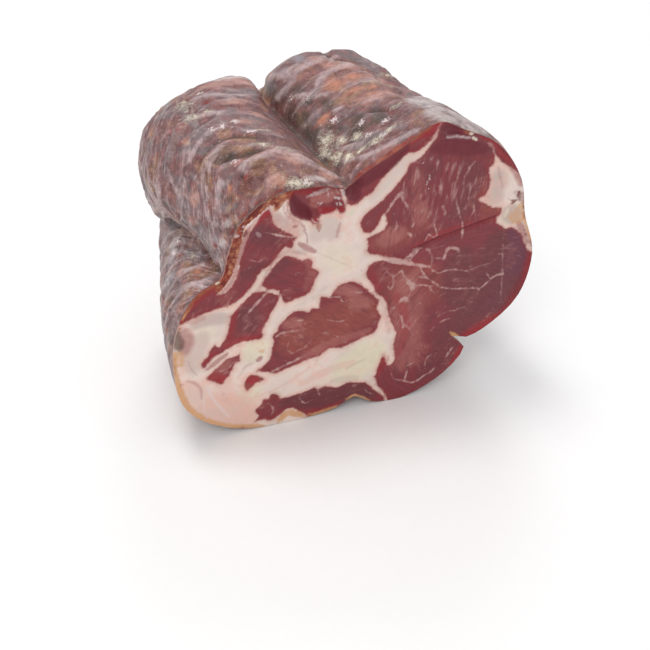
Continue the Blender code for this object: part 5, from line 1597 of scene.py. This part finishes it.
def crumb_tree():
    """Geometry nodes that scatter small uneven crumbs where the mould is thick on a casing."""
    tree = bpy.data.node_groups.new("mould crumbs", "GeometryNodeTree")
    sockets = (
        ("Casing", "NodeSocketGeometry"), ("Crumb Size", "NodeSocketFloat"), ("Spacing", "NodeSocketFloat"),
        ("Least Cover", "NodeSocketFloat"), ("Seed", "NodeSocketInt"), ("Finish", "NodeSocketMaterial"),
    )
    for name, kind in sockets:
        tree.interface.new_socket(name, in_out="INPUT", socket_type=kind)
    tree.interface.new_socket("Crumbs", in_out="OUTPUT", socket_type="NodeSocketGeometry")
    given = add(tree, "NodeGroupInput").outputs
    mould = add(
        tree, "GeometryNodeInputNamedAttribute", {"Name": "mould"}, data_type="FLOAT"
    ).outputs["Attribute"]
    clumps = add(tree, "ShaderNodeTexNoise", {"Scale": per(1.8), "Detail": 2.0}).outputs["Fac"]
    cover = add(tree, "ShaderNodeMath", {0: clumps, 1: CLUMPING, 2: mould}, operation="MULTIPLY_ADD")
    lowered = add(
        tree, "ShaderNodeMath", {0: cover.outputs[0], 1: CLUMPING / 2}, operation="SUBTRACT"
    ).outputs[0]
    thick = add(
        tree, "FunctionNodeCompare", {0: lowered, 1: given["Least Cover"]},
        data_type="FLOAT", operation="GREATER_THAN",
    )
    spread = add(
        tree, "GeometryNodeDistributePointsOnFaces",
        {"Mesh": given["Casing"], "Selection": thick.outputs[0], "Distance Min": given["Spacing"],
         "Density Max": CRUMB_DENSITY, "Seed": given["Seed"]},
        distribute_method="POISSON",
    )
    half = add(tree, "ShaderNodeMath", {0: given["Crumb Size"], 1: 0.5}, operation="MULTIPLY").outputs[0]
    crumb = add(tree, "GeometryNodeMeshIcoSphere", {"Radius": half, "Subdivisions": 1}).outputs["Mesh"]
    turn = add(
        tree, "FunctionNodeRandomValue", {0: (0, 0, 0), 1: (math.tau,) * 3, "Seed": given["Seed"]},
        data_type="FLOAT_VECTOR",
    ).outputs[0]
    size = add(
        tree, "FunctionNodeRandomValue", {0: CRUMB_LEAST, 1: CRUMB_MOST, "Seed": given["Seed"]},
        data_type="FLOAT_VECTOR",
    ).outputs[0]
    placed = add(
        tree, "GeometryNodeInstanceOnPoints",
        {"Points": spread.outputs["Points"], "Instance": crumb, "Rotation": turn, "Scale": size},
    )
    realized = add(tree, "GeometryNodeRealizeInstances", {"Geometry": placed.outputs[0]})
    finish = {"Geometry": realized.outputs[0], "Material": given["Finish"]}
    finished = add(tree, "GeometryNodeSetMaterial", finish)
    add(tree, "NodeGroupOutput", {"Crumbs": finished.outputs[0]})
    return tree


def run_nodes(source, tree, values, name):
    """The plain mesh that a node tree makes from an object, as an object of its own."""
    worker = bpy.data.objects.new(name, source.data.copy())
    bpy.context.scene.collection.objects.link(worker)
    modifier = worker.modifiers.new("nodes", "NODES")
    modifier.node_group = tree
    for item in tree.interface.items_tree:
        if item.item_type == "SOCKET" and item.name in values:
            modifier[item.identifier] = values[item.name]
    graph = bpy.context.evaluated_depsgraph_get()
    made = bpy.data.meshes.new_from_object(worker.evaluated_get(graph))
    worker.modifiers.remove(modifier)
    worker.data = made
    made.name = name
    return worker


class CoppaLooks(bpy.types.PropertyGroup):
    """The colours and reliefs of the cured meat."""

    wrinkle_height: length_setting("Wrinkle Height", 0.7, "How far the finest wrinkles stand out")
    rib_height: length_setting("Rib Height", 0.6, "How far the ribs of the net stand out")
    fold_strength: bpy.props.FloatProperty(
        name="Fold Strength", description="How high the named folds stand, as a share", default=1.3, min=0
    )
    furrow_strength: bpy.props.FloatProperty(
        name="Furrow Strength", description="How deep the named furrows sink, as a share", default=1.2, min=0
    )
    lean_red: colour_setting("Lean", "#7F343A", "The lean where nothing else tints it")
    lean_umber: colour_setting("Brown Lean", "#8F463F", "The browner lean inside the round muscles")
    lean_dusk: colour_setting("Dry Lean", "#6C3339", "The darkest, driest lean")
    lean_rosy: colour_setting("Rosy Lean", "#A4625C", "The lean that fine fat has made paler")
    # Bright lean, and a painted glow at the thin lower right edge
    crimson_lean_and_painted_glow: colour_setting("Bright Lean And Glow", "#94262C", "The brighter edge of the lean, and a painted glow at the right edge")
    lean_violet: colour_setting("Violet Lean", "#6A3344", "The lean that has dried with a violet cast")
    # Dark lean, and a painted shadow line under the crown's flap
    maroon_lean_and_painted_shadow: colour_setting("Dark Lean And Shadow", "#6A1F2B", "The lean in the pocket and below the casing, and a painted shadow line")
    vein_pink: colour_setting("Veins", "#C09892", "The fine fat between the fibres")
    fat_cream: colour_setting("Fat", "#E3D0C6", "The fat where nothing else tints it")
    fat_pink: colour_setting("Pink Fat", "#DBAE9F", "The fat beside the lean and in the lower corner")
    fat_butter: colour_setting("Yellow Fat", "#DFD4BC", "The oldest, yellowest fat")
    fat_ash: colour_setting("Grey Fat", "#C3AEA6", "The driest, greyest fat")
    fat_mauve: colour_setting("Mauve Fat", "#AE7B77", "The fat that has taken up colour from the lean")
    rind_amber: colour_setting("Rind", "#985034", "The translucent edge of the casing on the cut")
    rind_rust: colour_setting("Dark Rind", "#681610", "The driest edge of the casing")
    rind_scarlet: colour_setting("Red Rind", "#8C2A1A", "Where red juice has dried under the casing's edge")
    rind_smudge: colour_setting("Smudge", "#5E3F31", "The dirty corner of the fat")
    rind_tan: colour_setting("Pale Rind", "#CC9868", "The edge of the casing over fat")
    # Painted highlights: the whitish glints on moist ridges and wet tissue
    painted_glint_white: colour_setting("Painted Glints", "#DCCBCA", "The moist ridges that catch the light")
    casing_plum: colour_setting("Casing", "#75504F", "The casing where nothing else tints it")
    casing_rose: colour_setting("Rose Casing", "#96605A", "The casing's reddish bands")
    casing_salmon: colour_setting("Salmon Casing", "#BC8A7E", "The casing's smooth pink swellings")
    casing_edge: colour_setting("Casing Edge", "#7E4B3D", "The cut edge of the casing round the face")
    casing_slate: colour_setting("Slate Casing", "#776C6E", "The casing's greyed clouds")
    # Lilac casing, partly painted sheen on the wrinkles
    lilac_and_painted_sheen: colour_setting("Lilac Casing And Sheen", "#B5A4A6", "The casing's fine pale wrinkles, partly painted sheen")
    # Bluish grey casing, partly painted sheen
    steel_and_painted_sheen: colour_setting("Steel Casing And Sheen", "#948B91", "The casing's smooth bluish swellings, partly painted sheen")
    # Red stains, and painted shade in the wrinkles' valleys
    blood_stains_and_painted_shade: colour_setting("Red Stains And Shade", "#66302C", "Where the lean shows through the casing, and painted shade in wrinkles")
    casing_scarlet: colour_setting("Bright Stains", "#7A1A0E", "Where wet lean shines through the casing")
    casing_amber: colour_setting("Orange Stains", "#BC7A5E", "Where fat shows through the casing")
    casing_gold: colour_setting("Golden Stains", "#A07A5A", "Where dried fat has yellowed the casing")
    # Dark old mould, and painted shade in the furrows
    olive_mould_and_painted_shade: colour_setting("Dark Mould And Shade", "#4A3A30", "Old mould, and painted shade in the furrows")
    # Pale casing, partly painted highlight
    pale_and_painted_highlight: colour_setting("Pale Casing And Highlight", "#C4B6B2", "The pale casing, partly painted highlight")
    # Whitish bloom, and painted sheen on the crests
    bloom_and_painted_sheen: colour_setting("Bloom And Sheen", "#B79F9F", "The whitish bloom on the folds, with painted sheen")
    mould_cream: colour_setting("Mould", "#D9CCB9", "The thick mould")
    mould_grey: colour_setting("Grey Mould", "#A1978A", "The older mould")
    floor_colour: colour_setting("Floor", "#F8F7F5", "The floor under the coppa")


class CrumbSettings(bpy.types.PropertyGroup):
    """The crumbs of mould on the casing."""

    size: length_setting("Crumb Size", 0.42, "Across an average crumb")
    spacing: length_setting("Spacing", 0.36, "The least distance between two crumbs")
    least_cover: bpy.props.FloatProperty(
        name="Least Cover", description="How thick the mould is before it crumbles",
        default=0.55, min=0, max=1,
    )
    seed: bpy.props.IntProperty(name="Seed", description="The scatter's random seed", default=5)


class StageSettings(bpy.types.PropertyGroup):
    """The camera, the lights and the floor."""

    eye: bpy.props.FloatVectorProperty(
        name="Camera", description="Where the camera stands", subtype="TRANSLATION", unit="LENGTH",
        default=(-0.15817, -0.326, 0.27381),
    )
    aim: bpy.props.FloatVectorProperty(
        name="Aim", description="The point on the floor in the middle of the view", subtype="TRANSLATION",
        unit="LENGTH", default=(0.0106, 0.0051, 0.0),
    )
    roll: bpy.props.FloatProperty(
        name="Roll", description="How far the camera leans to its left", subtype="ANGLE",
        default=math.radians(6.076),
    )
    lens: bpy.props.FloatProperty(name="Lens", description="Focal length", unit="CAMERA", default=77.54)
    floor_size: length_setting("Floor Size", 3000, "The side of the square floor")


class COPPA_OT_add_meat(bpy.types.Operator):
    """Adds the cured meat with its casing, in place of its plain solid"""

    bl_idname = "coppa.add_meat"
    bl_label = "Cured Meat"

    def execute(self, context):
        looks = context.scene.coppa_looks
        meat = bpy.data.objects.new("coppa_meat", build_mesh(looks))
        context.scene.collection.objects.link(meat)
        meat.data.materials.append(casing_material(looks))
        meat.data.materials.append(meat_material(looks))
        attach(meat, "root")
        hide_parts("coppa")
        return {"FINISHED"}


class COPPA_OT_add_mould(bpy.types.Operator):
    """Adds the crumbs of mould that stand on the casing"""

    bl_idname = "coppa.add_mould"
    bl_label = "Mould Crumbs"

    def execute(self, context):
        crumbs = context.scene.coppa_crumbs
        values = {
            "Crumb Size": crumbs.size, "Spacing": crumbs.spacing, "Least Cover": crumbs.least_cover,
            "Seed": crumbs.seed, "Finish": mould_material(context.scene.coppa_looks),
        }
        mould = run_nodes(bpy.data.objects["coppa_meat"], crumb_tree(), values, "mould_crumbs")
        if not mould.data.polygons:
            raise RuntimeError("no crumb of mould was scattered")
        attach(mould, "root")
        return {"FINISHED"}


class COPPA_OT_add_stage(bpy.types.Operator):
    """Adds the camera, the soft lights and the floor"""

    bl_idname = "coppa.add_stage"
    bl_label = "Stage"

    def execute(self, context):
        stage = context.scene.coppa_stage
        looks = context.scene.coppa_looks
        add_camera(stage)
        add_floor(stage, looks)
        for name, place, size, power, tint in LAMPS:
            add_lamp(name, place, size, power, tint)
        add_sky()
        context.scene.view_settings.view_transform = "Standard"
        return {"FINISHED"}


# The lamps: name, place, width, power and colour, and the point that they all face
LAMPS = (
    ("key", (-0.6, -0.7, 0.9), 0.4, 3.0, "#FFFFFF"),
    ("front", (-0.2, -1.1, 0.35), 0.6, 1.0, "#FFFAF4"),
    ("top", (-0.25, 0.2, 1.1), 0.35, 4.4, "#FFFFFF"),
    ("rear", (0.35, 0.8, 0.8), 0.4, 2.4, "#F4F8FF"),
)
LAMP_AIM = (0, 0, 0.04)


def facing(place, target):
    """The turn that makes a camera or a lamp at one place look at another."""
    return (Vector(target) - Vector(place)).to_track_quat("-Z", "Y").to_matrix().to_4x4()


def add_camera(stage):
    """The camera at the photograph's viewing angle."""
    data = bpy.data.cameras.new("photo view")
    data.lens = stage.lens
    data.sensor_width = 36.0
    data.clip_start = 0.01
    camera = bpy.data.objects.new("photo view", data)
    bpy.context.scene.collection.objects.link(camera)
    rolled = facing(stage.eye, stage.aim) @ Matrix.Rotation(stage.roll, 4, "Z")
    camera.matrix_world = Matrix.Translation(stage.eye) @ rolled
    bpy.context.scene.camera = camera


def add_floor(stage, looks):
    """The plain square floor."""
    half = stage.floor_size / 2
    corners = [(-half, -half, 0), (half, -half, 0), (half, half, 0), (-half, half, 0)]
    mesh = bpy.data.meshes.new("floor")
    mesh.from_pydata(corners, [], [(0, 1, 2, 3)])
    mesh.materials.append(floor_material(looks))
    floor = bpy.data.objects.new("floor", mesh)
    bpy.context.scene.collection.objects.link(floor)


def add_lamp(name, place, size, power, tint):
    """A square lamp, whose size softens its shadow."""
    data = bpy.data.lights.new(name, "AREA")
    data.size = size
    data.energy = power
    data.color = srgb(tint)[:3]
    lamp = bpy.data.objects.new(name, data)
    lamp.matrix_world = Matrix.Translation(place) @ facing(place, LAMP_AIM)
    bpy.context.scene.collection.objects.link(lamp)


def add_sky():
    """An even, bright studio all round."""
    world = bpy.data.worlds.new("studio")
    world.use_nodes = True
    background = world.node_tree.nodes["Background"]
    background.inputs["Color"].default_value = srgb("#FBFCFF")
    background.inputs["Strength"].default_value = 0.62
    bpy.context.scene.world = world


class COPPA_PT_panel(bpy.types.Panel):
    """Lists the pieces and their settings"""

    bl_label = "Cut Coppa"
    bl_idname = "COPPA_PT_panel"
    bl_space_type = "VIEW_3D"
    bl_region_type = "UI"
    bl_category = "Coppa"

    def draw(self, context):
        scene = context.scene
        for operator, settings in (
            (COPPA_OT_add_meat, scene.coppa_looks),
            (COPPA_OT_add_mould, scene.coppa_crumbs),
            (COPPA_OT_add_stage, scene.coppa_stage),
        ):
            box = self.layout.box()
            box.operator(operator.bl_idname)
            for name in settings.__annotations__:
                box.prop(settings, name)


CLASSES = (
    CoppaLooks, CrumbSettings, StageSettings, COPPA_OT_add_meat, COPPA_OT_add_mould, COPPA_OT_add_stage,
    COPPA_PT_panel,
)


def register():
    for item in CLASSES:
        bpy.utils.register_class(item)
    bpy.types.Scene.coppa_looks = bpy.props.PointerProperty(type=CoppaLooks)
    bpy.types.Scene.coppa_crumbs = bpy.props.PointerProperty(type=CrumbSettings)
    bpy.types.Scene.coppa_stage = bpy.props.PointerProperty(type=StageSettings)


def unregister():
    del bpy.types.Scene.coppa_stage
    del bpy.types.Scene.coppa_crumbs
    del bpy.types.Scene.coppa_looks
    for item in reversed(CLASSES):
        bpy.utils.unregister_class(item)


def main():
    register()
    bpy.ops.coppa.add_meat()
    bpy.ops.coppa.add_mould()
    bpy.ops.coppa.add_stage()


if __name__ == "__main__":
    main()
